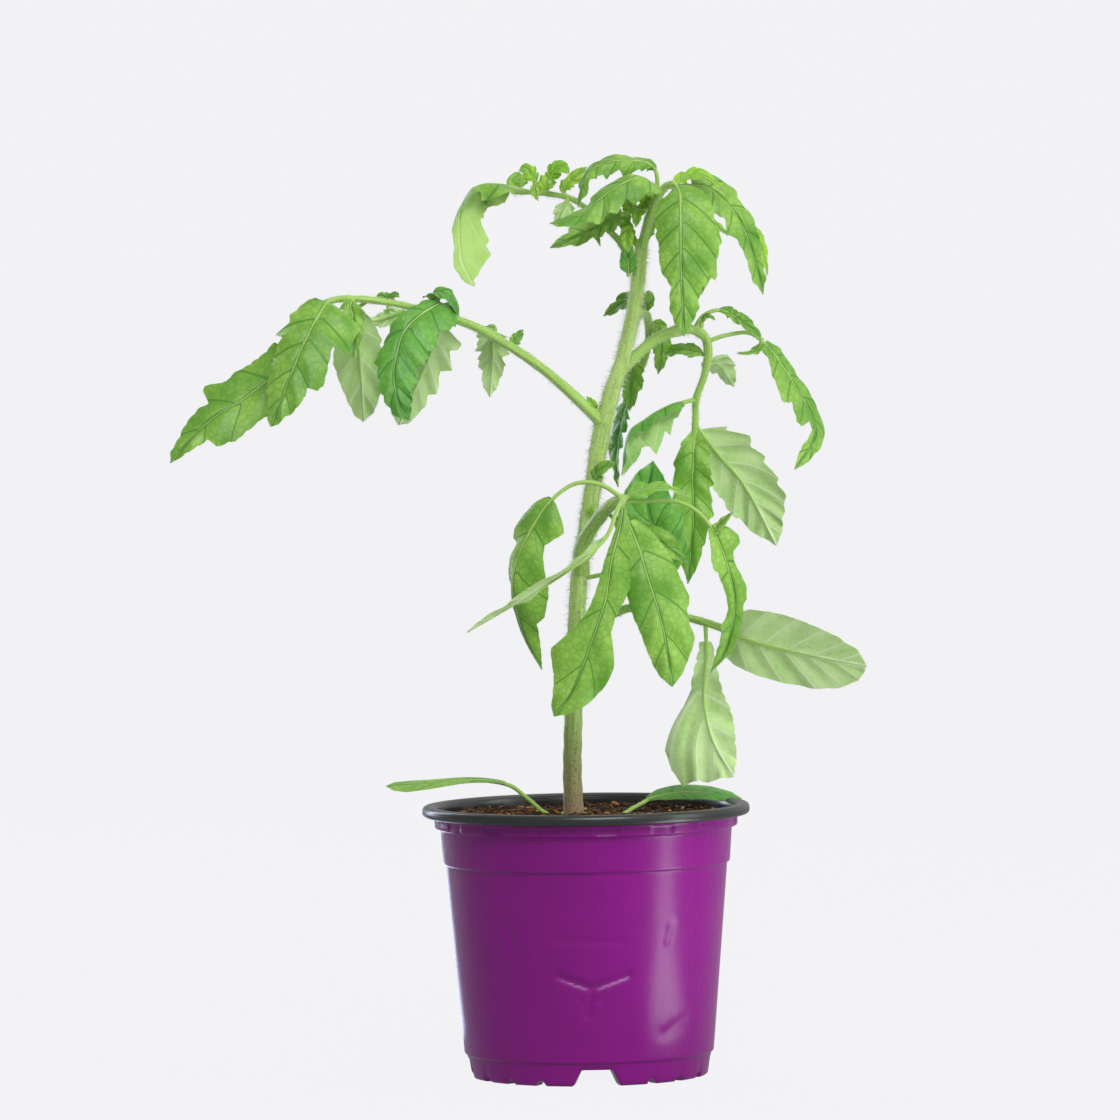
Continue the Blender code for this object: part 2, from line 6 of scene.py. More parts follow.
import bpy
import numpy as np
from mathutils import Matrix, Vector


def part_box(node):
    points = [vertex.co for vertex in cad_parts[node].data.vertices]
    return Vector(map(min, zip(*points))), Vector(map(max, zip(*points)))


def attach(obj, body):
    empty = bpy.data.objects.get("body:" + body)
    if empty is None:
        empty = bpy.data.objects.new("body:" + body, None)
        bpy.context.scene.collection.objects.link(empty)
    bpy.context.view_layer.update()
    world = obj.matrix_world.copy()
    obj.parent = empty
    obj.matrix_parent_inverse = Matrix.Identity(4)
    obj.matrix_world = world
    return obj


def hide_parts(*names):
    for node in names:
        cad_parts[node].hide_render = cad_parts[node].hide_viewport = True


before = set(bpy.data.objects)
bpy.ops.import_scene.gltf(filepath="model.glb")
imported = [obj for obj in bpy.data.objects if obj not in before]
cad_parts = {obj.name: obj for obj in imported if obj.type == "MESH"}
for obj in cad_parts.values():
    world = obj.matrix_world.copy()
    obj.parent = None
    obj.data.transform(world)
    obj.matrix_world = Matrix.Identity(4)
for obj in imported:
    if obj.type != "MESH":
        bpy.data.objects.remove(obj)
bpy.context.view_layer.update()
mm = 0.001
potLow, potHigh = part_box("pot")
potAxis = np.array([(potLow.x + potHigh.x) / 2, (potLow.y + potHigh.y) / 2, potLow.z])
print("frame loaded,", len(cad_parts), "nodes")


def linear(colour):
    # an sRGB hex value as linear red, green, blue and alpha
    srgb = np.array([int(colour[i:i + 2], 16) / 255 for i in (1, 3, 5)])
    return (*np.where(srgb < 0.04045, srgb / 12.92, ((srgb + 0.055) / 1.055) ** 2.4), 1.0)


def addNode(tree, kind, values=None, **settings):
    # one node, its settings, and a value or a link for each named input
    made = tree.nodes.new(kind)
    for setting, value in settings.items():
        setattr(made, setting, value)
    for socket, value in (values or {}).items():
        if isinstance(value, bpy.types.NodeSocket):
            tree.links.new(value, made.inputs[socket])
        else:
            made.inputs[socket].default_value = value
    return made


def calc(tree, kind, *values):
    # a sum, product or the like of one or two values
    return addNode(tree, "ShaderNodeMath", dict(enumerate(values)), operation=kind).outputs[0]


def noise(tree, place, size, detail, output=0):
    # noise with features of about size mm
    made = addNode(tree, "ShaderNodeTexNoise", {"Vector": place, "Scale": 1 / (size * mm), "Detail": detail})
    return made.outputs[output]


def blend(tree, share, first, second, kind="MIX"):
    return addNode(tree, "ShaderNodeMixRGB", {0: share, 1: first, 2: second}, blend_type=kind).outputs[0]


def scaled(tree, value, low, high, start=0.0, end=1.0, curve="LINEAR"):
    # low to high becomes start to end, and stays there outside
    return addNode(tree, "ShaderNodeMapRange", {0: value, 1: low, 2: high, 3: start, 4: end},
                   interpolation_type=curve).outputs[0]


def bumped(tree, strength, depth, height):
    return addNode(tree, "ShaderNodeBump", {"Strength": strength, "Distance": depth * mm,
                                            "Height": height}).outputs[0]


def objectPlace(tree):
    return addNode(tree, "ShaderNodeTexCoord").outputs["Object"]


def newMaterial(name):
    made = bpy.data.materials.new(name)
    made.use_nodes = True
    made.node_tree.nodes.clear()
    return made, made.node_tree


def showSurface(tree, values, through=None):
    # a Principled surface; through is the share, colour and normal of the light that passes it
    shader = addNode(tree, "ShaderNodeBsdfPrincipled", values).outputs[0]
    if through:
        share, colour, normal = through
        passed = addNode(tree, "ShaderNodeBsdfTranslucent", {"Color": colour})
        if normal:
            tree.links.new(normal, passed.inputs["Normal"])
        shader = addNode(tree, "ShaderNodeMixShader", {0: share, 1: shader, 2: passed.outputs[0]}).outputs[0]
    addNode(tree, "ShaderNodeOutputMaterial", {"Surface": shader})


def unit(vectors):
    return vectors / np.maximum(np.linalg.norm(vectors, axis=-1, keepdims=True), 1e-12)


def catmullRom(a, b, c, d, t):
    return 0.5 * (2 * b + (c - a) * t + (2 * a - 5 * b + 4 * c - d) * t**2 + (3 * b - a - 3 * c + d) * t**3)


def smoothPath(points, count):
    # Catmull-Rom through all points, then count samples at equal distances along it
    p = np.array(points, float)
    p = np.vstack([2 * p[0] - p[1], p, 2 * p[-1] - p[-2]])
    place = np.linspace(0, len(p) - 3 - 1e-9, 60 * len(p))
    i = place.astype(int)
    t = (place - i)[:, None]
    a, b, c, d = p[i], p[i + 1], p[i + 2], p[i + 3]
    fine = catmullRom(a, b, c, d, t)
    steps = np.linalg.norm(np.diff(fine[:, :3], axis=0), axis=1)
    run = np.concatenate([[0], np.cumsum(steps)])
    goal = np.linspace(0, run[-1], count)
    return np.stack([np.interp(goal, run, column) for column in fine.T], axis=1), run[-1]


def gridFaces(rows, columns, wrapColumns=False):
    # quads of a grid of points numbered row by row
    i = np.arange(rows - 1)[:, None] * columns
    j = np.arange(columns if wrapColumns else columns - 1)[None, :]
    after = (j + 1) % columns
    corners = (i + j, i + after, i + columns + after, i + columns + j)
    return np.stack(np.broadcast_arrays(*corners), axis=-1).reshape(-1, 4)


def meshPiece(name, points, faces, materials, faceMaterial=None, smoothBelow=40, attributes=None):
    # a mesh object from points in millimetres about the pot's axis; faces is one array of corner numbers for
    # each number of corners, and attributes are vectors at the points
    mesh = bpy.data.meshes.new(name)
    points = np.asarray(points, float) * mm + potAxis
    faceSets = [np.asarray(f, np.int64) for f in (faces if isinstance(faces, list) else [faces])]
    corners = np.concatenate([f.reshape(-1) for f in faceSets])
    sizes = np.concatenate([np.full(len(f), f.shape[1]) for f in faceSets])
    mesh.vertices.add(len(points))
    mesh.vertices.foreach_set("co", points.astype(np.float32).reshape(-1))
    mesh.loops.add(len(corners))
    mesh.loops.foreach_set("vertex_index", corners.astype(np.int32))
    mesh.polygons.add(len(sizes))
    starts = np.concatenate([[0], np.cumsum(sizes)[:-1]])
    mesh.polygons.foreach_set("loop_start", starts.astype(np.int32))
    if faceMaterial is not None:
        mesh.polygons.foreach_set("material_index", np.asarray(faceMaterial, np.int32))
    mesh.update(calc_edges=True)
    for label, values in (attributes or {}).items():
        field = mesh.attributes.new(label, "FLOAT_VECTOR", "POINT")
        field.data.foreach_set("vector", values.astype(np.float32).reshape(-1))
    mesh.shade_smooth()
    if smoothBelow:
        mesh.set_sharp_from_angle(angle=math.radians(smoothBelow))
    for material in materials:
        mesh.materials.append(material)
    obj = bpy.data.objects.new(name, mesh)
    bpy.context.scene.collection.objects.link(obj)
    return obj


def publish(obj, slot, *nodes):
    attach(obj, "root")
    if nodes:
        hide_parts(*nodes)
    return obj


view = dict(place=(-7.2, -2500, 268.6), aim=(-7.2, 0, 165.4), roll=0.8, lens=251.0, sensor=36, farthest=100)


def stand(obj, right, up, back, place):
    # turns and places an object by its three axes, which are the columns of its matrix
    matrix = np.eye(4)
    matrix[:3] = np.stack([right, up, back, place], axis=1)
    obj.matrix_world = Matrix(matrix.tolist())


def makeCamera():
    # looks from place to aim, and the picture leans left by roll degrees
    camera = bpy.data.objects.new("camera", bpy.data.cameras.new("camera"))
    bpy.context.scene.collection.objects.link(camera)
    place, aim = np.array(view["place"]) * mm + potAxis, np.array(view["aim"]) * mm + potAxis
    ahead = unit(aim - place)
    right = unit(np.cross(ahead, (0, 0, 1)))
    up = np.cross(right, ahead)
    turn = math.radians(view["roll"])
    right, up = right * math.cos(turn) - up * math.sin(turn), up * math.cos(turn) + right * math.sin(turn)
    stand(camera, right, up, -ahead, place)
    camera.data.lens = view["lens"]
    camera.data.sensor_width = view["sensor"]
    camera.data.clip_end = view["farthest"]
    bpy.context.scene.camera = camera


# name: azimuth from the viewer's side towards +X, height and distance (m), width, tall side, watts, colour
lights = dict(
    softboxRight=(74, 0.45, 1.35, 0.42, 1.5, 6.0, "#FFFFFF"),
    softboxFront=(12, 1.6, 1.9, 1.2, 1.0, 36.0, "#FFFFFF"),
    stripLeft=(-140, 0.4, 1.3, 0.16, 1.5, 9.0, "#DCE6FF"),
    overhead=(150, 2.0, 1.0, 1.4, 1.4, 4.0, "#FFFFFF"),
)
# strips of light that lie on the floor, which the pot's sloping wall mirrors
# name: azimuth, near and far end (m), width, watts, colour
floorStrips = dict(
    right=(63, 0.1, 0.6, 0.065, 0.56, "#FFFFFF"),
    backLeft=(-165, 0.1, 0.8, 0.12, 0.8, "#C8D4FF"),
)
aimHeight = 0.15      # m, where the standing lights look
# strength of the backdrop as seen, of its light from the left and from the right, and of the floor's light
paleStudio = dict(colour="#F4F4F6", seen=0.985, fillLeft=0.36, fillRight=0.78, floorSeen=0.97, floorFill=0.45)


def areaLight(name, width, tall, power, colour):
    data = bpy.data.lights.new(name, "AREA")
    data.shape, data.size, data.size_y, data.energy = "RECTANGLE", width, tall, power
    data.color = linear(colour)[:3]
    light = bpy.data.objects.new(name, data)
    bpy.context.scene.collection.objects.link(light)
    return light


def wayTo(azimuth):
    return np.array([math.sin(math.radians(azimuth)), -math.cos(math.radians(azimuth)), 0])


def makeLights():
    down = np.array([0, 0, -1.0])
    for name, (azimuth, near, far, width, power, colour) in floorStrips.items():
        out = wayTo(azimuth)
        stand(areaLight(name, width, far - near, power, colour), np.cross(out, down), out, down,
              potAxis + out * (near + far) / 2 - down * 2 * mm)
    for name, (azimuth, height, distance, width, tall, power, colour) in lights.items():
        light = areaLight(name, width, tall, power, colour)
        place = potAxis + wayTo(azimuth) * distance - down * height
        away = unit(place - (potAxis - down * aimHeight))
        right = unit(np.cross((0, 0, 1), away))
        stand(light, right, np.cross(away, right), away, place)


def makeWorld():
    # the backdrop is seen pale, and lights the plant less than it shows, least from the left
    world = bpy.data.worlds.new("paleStudio")
    world.use_nodes = True
    tree = world.node_tree
    tree.nodes.clear()
    colour = linear(paleStudio["colour"])
    seen = addNode(tree, "ShaderNodeBackground", {"Color": colour, "Strength": paleStudio["seen"]})
    way = addNode(tree, "ShaderNodeTexCoord").outputs["Generated"]
    toRight = addNode(tree, "ShaderNodeSeparateXYZ", {0: way}).outputs[0]
    share = scaled(tree, toRight, -0.9, 0.9, paleStudio["fillLeft"], paleStudio["fillRight"])
    fill = addNode(tree, "ShaderNodeBackground", {"Color": colour, "Strength": share})
    direct = addNode(tree, "ShaderNodeLightPath").outputs["Is Camera Ray"]
    both = addNode(tree, "ShaderNodeMixShader", {0: direct, 1: fill.outputs[0], 2: seen.outputs[0]})
    addNode(tree, "ShaderNodeOutputWorld", {"Surface": both.outputs[0]})
    bpy.context.scene.world = world
    bpy.context.scene.view_settings.view_transform = "Standard"


def makeFloor():
    # a wide pale disc: rings of growing radius
    count = 64
    angle = np.linspace(0, 2 * np.pi, count, endpoint=False)
    radius = np.array([0.5, 400, 3000, 30000.0])
    x, y = radius[:, None] * np.cos(angle), radius[:, None] * np.sin(angle)
    points = np.stack([x, y, np.full_like(x, -0.02)], axis=-1).reshape(-1, 3)
    material, tree = newMaterial("floorPaintMatt")
    direct = addNode(tree, "ShaderNodeLightPath").outputs["Is Camera Ray"]
    glow = scaled(tree, direct, 0.0, 1.0, paleStudio["floorFill"], paleStudio["floorSeen"])
    showSurface(tree, {"Base Color": (0.015, 0.015, 0.015, 1), "Roughness": 0.9, "Specular IOR Level": 0.0,
                       "Emission Color": linear(paleStudio["colour"]), "Emission Strength": glow})
    quads = gridFaces(len(radius), count, wrapColumns=True)
    floor = meshPiece("floor", points, [quads[:, ::-1], np.arange(count)[None, :]], [material], smoothBelow=0)


makeCamera()
makeLights()
makeWorld()
makeFloor()
print("camera, lights and floor set")


pot = dict(
    around=540, wall=0.8, floorHeight=6.0, footRadius=38.4, footInside=31.6, footTop=6.5,
    lugs=16, lugWidth=9.0, lugDepth=0.4,
    notches=4, notchTurn=3.4, notchTop=9.6, notchBottom=15.8, notchHeight=5.2,
    scallops=(-28.0, -45.0, 28.0), scallopRadius=1.8, scallopHeight=1.5,
    drainHoles=8, drainRadius=3.0, drainCircle=22.0,
    # creases pressed into the front of the wall: x and z of both ends, depth and half width
    creases=((-9.5, 35.4, 1.0, 31.6, 0.9, 1.1), (1.0, 31.6, 12.5, 35.6, 0.9, 1.1),
             (1.0, 31.6, -0.6, 23.0, 0.5, 1.3), (-10, 46.6, 10.5, 46.2, 0.3, 1.1),
             (-26, 51, -24.6, 45.5, 0.5, 1.6), (-24.6, 45.5, -20.5, 41.5, 0.4, 1.4),
             (26.5, 51, 25.0, 45.5, 0.25, 1.2), (30, 20, 24, 16, 0.3, 2.0), (-2, 27, 4, 27.8, 0.3, 1.2)),
)


def potMaterial(name, colour, variation, roughness, level):
    # Polystyrene sheet, formed hot over a mould: satin, with a fine orange-peel skin and a few rubbed streaks
    material, tree = newMaterial(name)
    place = objectPlace(tree)
    sheet = noise(tree, place, 14, 2.0)
    rubbed = addNode(tree, "ShaderNodeVectorMath", {0: place, 1: (1.0, 1.0, 0.12)}, operation="MULTIPLY")
    streaks = noise(tree, rubbed.outputs[0], 3, 4.0)
    dull = scaled(tree, streaks, 0.35, 0.7, roughness - 0.005, roughness + 0.01)
    softPeel = calc(tree, "MULTIPLY", noise(tree, place, 1.3, 2.0), 0.28)
    showSurface(tree, {
        "Base Color": blend(tree, sheet, linear(colour), linear(variation)), "Roughness": dull, "IOR": 1.55,
        "Specular IOR Level": level, "Normal": bumped(tree, 0.22, 0.5, calc(tree, "ADD", softPeel, sheet))})
    return material


potPurple = potMaterial("polystyreneSheetPurple", "#780374", "#80077C", 0.27, 0.3)
potBlack = potMaterial("polystyreneSheetBlack", "#1A1D1C", "#262928", 0.3, 0.5)


def potProfile():
    # radius and height down the outside, under the foot and back up the inside; also which rows are coloured,
    # and how many belong to the outside
    down = np.linspace(0, 1, 70)[1:-1, None]
    outside = np.vstack([
        (48.7, 86.6), (49.1, 86.9), (49.8, 87.0), (50.8, 87.0), (51.6, 86.9), (52.15, 86.55), (52.45, 86.0),
        (52.5, 85.4), (52.5, 84.7), (52.35, 84.1), (51.9, 83.7), (51.2, 83.5), (50.2, 83.45), (49.3, 83.4),
        (48.8, 83.2), (48.62, 82.7), (48.6, 82.2), (48.6, 81.3), (48.58, 80.5), (48.45, 80.1), (48.0, 79.85),
        (47.2, 79.7), (46.85, 79.45), (46.7, 79.0), (46.6, 78.0), (46.35, 75.0), (46.1, 72.0), (45.85, 69.3),
        (45.8, 68.8), (45.6, 68.45), (45.1, 68.2), (44.93, 67.9), (44.85, 67.4),
        (44.85, 67.4) + down * (40.05 - 44.85, 8.3 - 67.4),
        (40.05, 8.3), (40.0, 7.85), (39.8, 7.55), (39.35, 7.35), (39.2, 7.0), (39.1, 6.3), (38.9, 4.8),
        (38.7, 3.2), (38.5, 1.8), (38.35, 0.9), (38.1, 0.4), (37.6, 0.05), (37.0, 0.0), (35.2, 0.0),
        (33.6, 0.0), (32.9, 0.15),
        (32.4, 0.6), (32.2, 1.4), (31.8, 3.6), (31.4, 5.4), (31.1, 5.9), (30.4, 6.0), (24.0, 6.0),
        (12.0, 6.0), (0.4, 6.0)])
    inside = np.vstack([
        (0.4, 6.8), (12.0, 6.8), (24.0, 6.8), (31.2, 6.8), (32.0, 6.2), (32.6, 3.6), (33.1, 1.3), (33.8, 0.8),
        (36.6, 0.8), (37.3, 1.2), (37.7, 3.2), (38.3, 6.4), (39.2, 8.2),
        (39.2, 8.2) + down[::6] * (44.1 - 39.2, 67.9 - 8.2),
        (44.1, 67.9), (44.9, 68.9), (45.8, 78.6), (46.1, 79.3), (47.4, 80.1), (47.75, 80.6), (47.8, 82.2),
        (47.8, 84.5), (47.85, 85.8), (48.15, 86.3)])
    profile = np.vstack([outside, inside])
    index = np.arange(len(profile))
    coloured = (index >= 13) & (index < len(outside) - 12)
    return profile, coloured, len(outside)


def footLift(angle):
    # height of the foot's edge at each angle: straight-sided notches, and small round scallops between them
    lift = np.zeros_like(angle)
    for k in range(pot["notches"]):
        centre = math.radians(pot["notchTurn"] - 90 + 360 * k / pot["notches"])
        off = np.abs((angle - centre + np.pi) % (2 * np.pi) - np.pi) * pot["footRadius"]
        flank = (pot["notchBottom"] - pot["notchTop"]) / 2
        share = np.clip((pot["notchBottom"] / 2 - off) / flank, 0, 1)
        lift = np.maximum(lift, pot["notchHeight"] * (0.7 * share + 0.3 * share**2 * (3 - 2 * share)))
        for turn in pot["scallops"]:
            middle = centre + math.radians(turn)
            off = np.abs((angle - middle + np.pi) % (2 * np.pi) - np.pi) * pot["footRadius"]
            arch = np.sqrt(np.clip(1 - (off / pot["scallopRadius"]) ** 2, 0, 1))
            lift = np.maximum(lift, pot["scallopHeight"] * arch)
    return lift


def buildPot():
    # the profile turned about the axis; its lower part is squeezed up over each notch, the collar carries
    # stacking lugs, and the deepest crease pushes the wall in by depth * exp(-(distance / half width)^2)
    profile, coloured, outsideCount = potProfile()
    angle = np.linspace(0, 2 * np.pi, pot["around"], endpoint=False)
    radius = np.broadcast_to(profile[:, 0, None], (len(profile), len(angle))).copy()
    height = np.broadcast_to(profile[:, 1, None], radius.shape).copy()
    lift = footLift(angle)[None, :]
    top = pot["footTop"]
    foot = (height < top) & (radius > pot["footInside"])
    height = np.where(foot, lift + height * (top - lift) / top, height)
    period = 2 * np.pi / pot["lugs"]
    off = np.abs((angle - 0.13 + period / 2) % period - period / 2)
    lug = np.clip((math.radians(pot["lugWidth"]) / 2 - off) / math.radians(1.2) + 0.5, 0, 1)[None, :]
    onCollar = np.clip((height - 80.2) / 0.5, 0, 1) * np.clip((83.1 - height) / 0.5, 0, 1)
    radius = radius - pot["lugDepth"] * lug * onCollar
    x, y = radius * np.cos(angle), radius * np.sin(angle)
    push = np.zeros_like(x)
    for x0, z0, x1, z1, depth, width in pot["creases"]:
        dx, dz = x1 - x0, z1 - z0
        along = np.clip(((x - x0) * dx + (height - z0) * dz) / (dx**2 + dz**2), 0, 1)
        gap = np.hypot(x - x0 - along * dx, height - z0 - along * dz)
        push = np.maximum(push, depth * np.exp(-(gap / width) ** 2))
    push = np.where((y < 0) & (height > 9) & (height < 66), push, 0)
    bow = 0.22 * np.cos(2 * angle + 0.6) * np.clip(height / 60, 0, 1) * np.clip((80 - height) / 12, 0, 1)
    radius = radius - push + bow
    points = np.stack([radius * np.cos(angle), radius * np.sin(angle), height], axis=-1)
    count = len(angle)
    centres = np.array([[0, 0, pot["floorHeight"]], [0, 0, pot["floorHeight"] + pot["wall"]]])
    quads = gridFaces(len(profile), count, wrapColumns=True)
    kinds = np.repeat(np.where(coloured[:len(profile) - 1], 0, 1), count)
    keep = np.arange(len(quads)) // count != outsideCount - 1
    quads, kinds = quads[keep][:, ::-1], kinds[keep]
    j = np.arange(count)
    after = (j + 1) % count
    last, under, over = (len(profile) - 1) * count, (outsideCount - 1) * count, outsideCount * count
    closing = np.stack([j, after, last + after, last + j], axis=1)
    lower, upper = np.full(count, len(profile) * count), np.full(count, len(profile) * count + 1)
    hub = np.concatenate([np.stack([lower, under + j, under + after], axis=1),
                          np.stack([upper, over + after, over + j], axis=1)])
    obj = meshPiece("potSheet", np.concatenate([points.reshape(-1, 3), centres]),
                    [np.concatenate([quads, closing]), hub], [potPurple, potBlack],
                    faceMaterial=np.concatenate([kinds, np.ones(count), np.zeros(count), np.ones(count)]),
                    smoothBelow=48)
    cutDrainHoles(obj)
    return publish(obj, "pot", "pot")


def cutDrainHoles(obj):
    # round holes through the raised floor, by one boolean cut with a ring of short cylinders
    count = 32
    turn = np.linspace(0, 2 * np.pi, count, endpoint=False)
    circle = pot["drainRadius"] * np.stack([np.cos(turn), np.sin(turn)], axis=1)
    middle = 2 * np.pi * (np.arange(pot["drainHoles"]) + 0.5) / pot["drainHoles"]
    centre = pot["drainCircle"] * np.stack([np.cos(middle), np.sin(middle)], axis=1)
    plan = centre[:, None, None] + np.broadcast_to(circle, (1, 2, count, 2))
    ends = np.array([-1.5, 2.5]) + pot["floorHeight"]
    z = np.broadcast_to(ends[None, :, None, None], (*plan.shape[:3], 1))
    points = np.concatenate([plan, z], axis=-1).reshape(-1, 3)
    first = np.arange(pot["drainHoles"])[:, None, None] * 2 * count
    sides = (first + gridFaces(2, count, wrapColumns=True)).reshape(-1, 4)
    caps = (first + np.stack([np.arange(count)[::-1], np.arange(count) + count])).reshape(-1, count)
    cutter = meshPiece("drainCutter", points, [sides, caps], [potPurple], smoothBelow=0)
    cut = obj.modifiers.new("drainHoles", "BOOLEAN")
    cut.operation, cut.solver, cut.object = "DIFFERENCE", "EXACT", cutter
    bpy.context.view_layer.update()
    whole = obj.data
    obj.data = bpy.data.meshes.new_from_object(obj.evaluated_get(bpy.context.evaluated_depsgraph_get()))
    obj.modifiers.clear()
    bpy.data.objects.remove(cutter)
    print("pot faces:", len(whole.polygons), "before the drain holes,", len(obj.data.polygons), "after")
    bpy.data.meshes.remove(whole)


buildPot()
print("pot built")


soil = dict(height=83.2, radius=46.6, lump=0.9, crumbs=2600, fibres=420, bark=150, perlite=46, stemX=-4.0,
            stemGap=4.2)


def soilHeight(x, y):
    # the soil's top: slow swells, smaller lumps, a slight hollow at the wall and a rise at the stem
    r = np.hypot(x, y)
    slow = np.sin(0.31 * x + 0.4) * np.cos(0.27 * y) + np.sin(0.53 * y - 0.2 * x)
    small = np.sin(1.3 * x + 2.1 * np.sin(0.9 * y)) * np.sin(1.7 * y + 1.1 * np.sin(1.2 * x))
    stemRise = 0.9 * np.exp(-((x - soil["stemX"]) ** 2 + y**2) / 40)
    atWall = 0.5 * np.clip((r - 40) / 6, 0, 1)
    return soil["height"] + soil["lump"] * (0.45 * slow + 0.3 * small) - atWall + stemRise


def grainMaterial(name, colours, scale, roughness, bumpDepth):
    # a loose material of several tones: noise picks between its colours
    material, tree = newMaterial(name)
    place = objectPlace(tree)
    ramp = addNode(tree, "ShaderNodeValToRGB", {0: noise(tree, place, scale, 4.0)})
    stops = ramp.color_ramp.elements
    while len(stops) < len(colours):
        stops.new(0.5)
    for k, colour in enumerate(colours):
        stops[k].position = 0.32 + 0.36 * k / max(len(colours) - 1, 1)
        stops[k].color = linear(colour)
    bump = bumped(tree, 0.8, bumpDepth, noise(tree, place, scale * 0.5, 4.0))
    showSurface(tree, {"Base Color": ramp.outputs[0], "Roughness": roughness, "Specular IOR Level": 0.25,
                       "Normal": bump})
    return material


peat = grainMaterial("peatCompostDamp", ("#1A110B", "#2C1C12", "#46301E", "#5A4128"), 1.6, 0.9, 0.8)
peatFibre = grainMaterial("peatFibreDry", ("#5A3A22", "#8A6238", "#B58B58"), 3.0, 0.75, 0.2)
barkChip = grainMaterial("barkChipDry", ("#6B4426", "#A06C3C", "#C99B63"), 2.0, 0.8, 0.4)
perliteGrain = grainMaterial("perliteGrainWhite", ("#C9C4B4", "#E4E1D6", "#F1EFE8"), 1.0, 0.85, 0.3)


def ballShape():
    # an icosahedron of radius 1
    g = (1 + 5 ** 0.5) / 2
    p = np.array([(-1, g, 0), (1, g, 0), (-1, -g, 0), (1, -g, 0), (0, -1, g), (0, 1, g), (0, -1, -g),
                  (0, 1, -g), (g, 0, -1), (g, 0, 1), (-g, 0, -1), (-g, 0, 1)], float)
    f = np.array([(0, 11, 5), (0, 5, 1), (0, 1, 7), (0, 7, 10), (0, 10, 11), (1, 5, 9), (5, 11, 4),
                  (11, 10, 2), (10, 7, 6), (7, 1, 8), (3, 9, 4), (3, 4, 2), (3, 2, 6), (3, 6, 8), (3, 8, 9),
                  (4, 9, 5), (2, 4, 11), (6, 2, 10), (8, 6, 7), (9, 8, 1)])
    return unit(p), f


def scatterLumps(name, material, count, sizes, flat, seed, reach=45.6, lift=0.25):
    # uneven lumps: one small ball per place, each corner pushed in or out, then stretched and turned
    random = np.random.default_rng(seed)
    ball, faces = ballShape()
    radius = reach * np.sqrt(random.uniform(0, 1, count))
    turn = random.uniform(0, 2 * np.pi, count)
    x, y = radius * np.cos(turn), radius * np.sin(turn)
    clear = np.hypot(x - soil["stemX"], y) > soil["stemGap"]
    x, y = x[clear], y[clear]
    count = len(x)
    size = random.uniform(*sizes, count)[:, None, None]
    shape = ball[None] * (1 + random.uniform(-0.32, 0.32, (count, len(ball), 1)))
    shape = shape * np.stack([random.uniform(0.7, 1.3, count), random.uniform(0.6, 1.0, count),
                              random.uniform(flat, flat + 0.35, count)], axis=1)[:, None, :]
    spin = random.uniform(0, 2 * np.pi, count)[:, None]
    tip = random.normal(0, 0.5, count)[:, None]
    a = shape[..., 0] * np.cos(tip) - shape[..., 2] * np.sin(tip)
    c = shape[..., 0] * np.sin(tip) + shape[..., 2] * np.cos(tip)
    b = shape[..., 1]
    shape = np.stack([a * np.cos(spin) - b * np.sin(spin), a * np.sin(spin) + b * np.cos(spin), c], axis=-1)
    middle = np.stack([x, y, soilHeight(x, y) + size[:, 0, 0] * lift], axis=1)
    points = (shape * size + middle[:, None]).reshape(-1, 3)
    lumps = (faces[None] + np.arange(count)[:, None, None] * len(ball)).reshape(-1, 3)
    return publish(meshPiece(name, points, [lumps], [material], smoothBelow=35), "soil")


def scatterFibres(name, material, count, lengths, width, seed, rise, reach=44.5):
    # bent strands: a four-sided tube along an arc that starts and ends near the soil
    random = np.random.default_rng(seed)
    radius = reach * np.sqrt(random.uniform(0, 1, count))
    turn = random.uniform(0, 2 * np.pi, count)
    x, y = radius * np.cos(turn), radius * np.sin(turn)
    length = random.uniform(*lengths, count)
    heading = random.uniform(0, 2 * np.pi, count)
    share = np.linspace(0, 1, 7)
    bend = random.normal(0, 0.8, count)
    way = heading[:, None] + bend[:, None] * share
    stepX, stepY = np.cos(way) * length[:, None] / 6, np.sin(way) * length[:, None] / 6
    px = x[:, None] + np.cumsum(stepX, axis=1)
    py = y[:, None] + np.cumsum(stepY, axis=1)
    far = np.hypot(px, py)
    px, py = px * np.minimum(1, reach / far), py * np.minimum(1, reach / far)
    high = rise * random.uniform(0, 1, count)[:, None]
    arc = np.sin(np.pi * share * random.uniform(0.6, 1, count)[:, None])
    pz = soilHeight(px, py) + 0.15 + high * arc
    centre = np.stack([px, py, pz], axis=-1)
    run = unit(np.gradient(centre, axis=1))
    side = unit(np.cross(run, np.array([0, 0, 1.0])))
    top = np.cross(side, run)
    taper = np.array([0.4, 1, 1, 0.9, 1, 0.8, 0.3])
    thick = (random.uniform(0.6, 1.2, count) * width)[:, None] * taper[None, :]
    corners = [centre + thick[..., None] * (side * math.cos(t) + top * math.sin(t))
               for t in (0.79, 2.36, 3.93, 5.5)]
    points = np.stack(corners, axis=2).reshape(-1, 3)
    quads = gridFaces(7, 4, wrapColumns=True)
    ends = np.array([(0, 1, 2, 3), (27, 26, 25, 24)])
    one = np.concatenate([quads[:, ::-1], ends])
    faces = (one[None] + np.arange(count)[:, None, None] * 28).reshape(-1, 4)
    return publish(meshPiece(name, points, [faces], [material], smoothBelow=60), "soil")


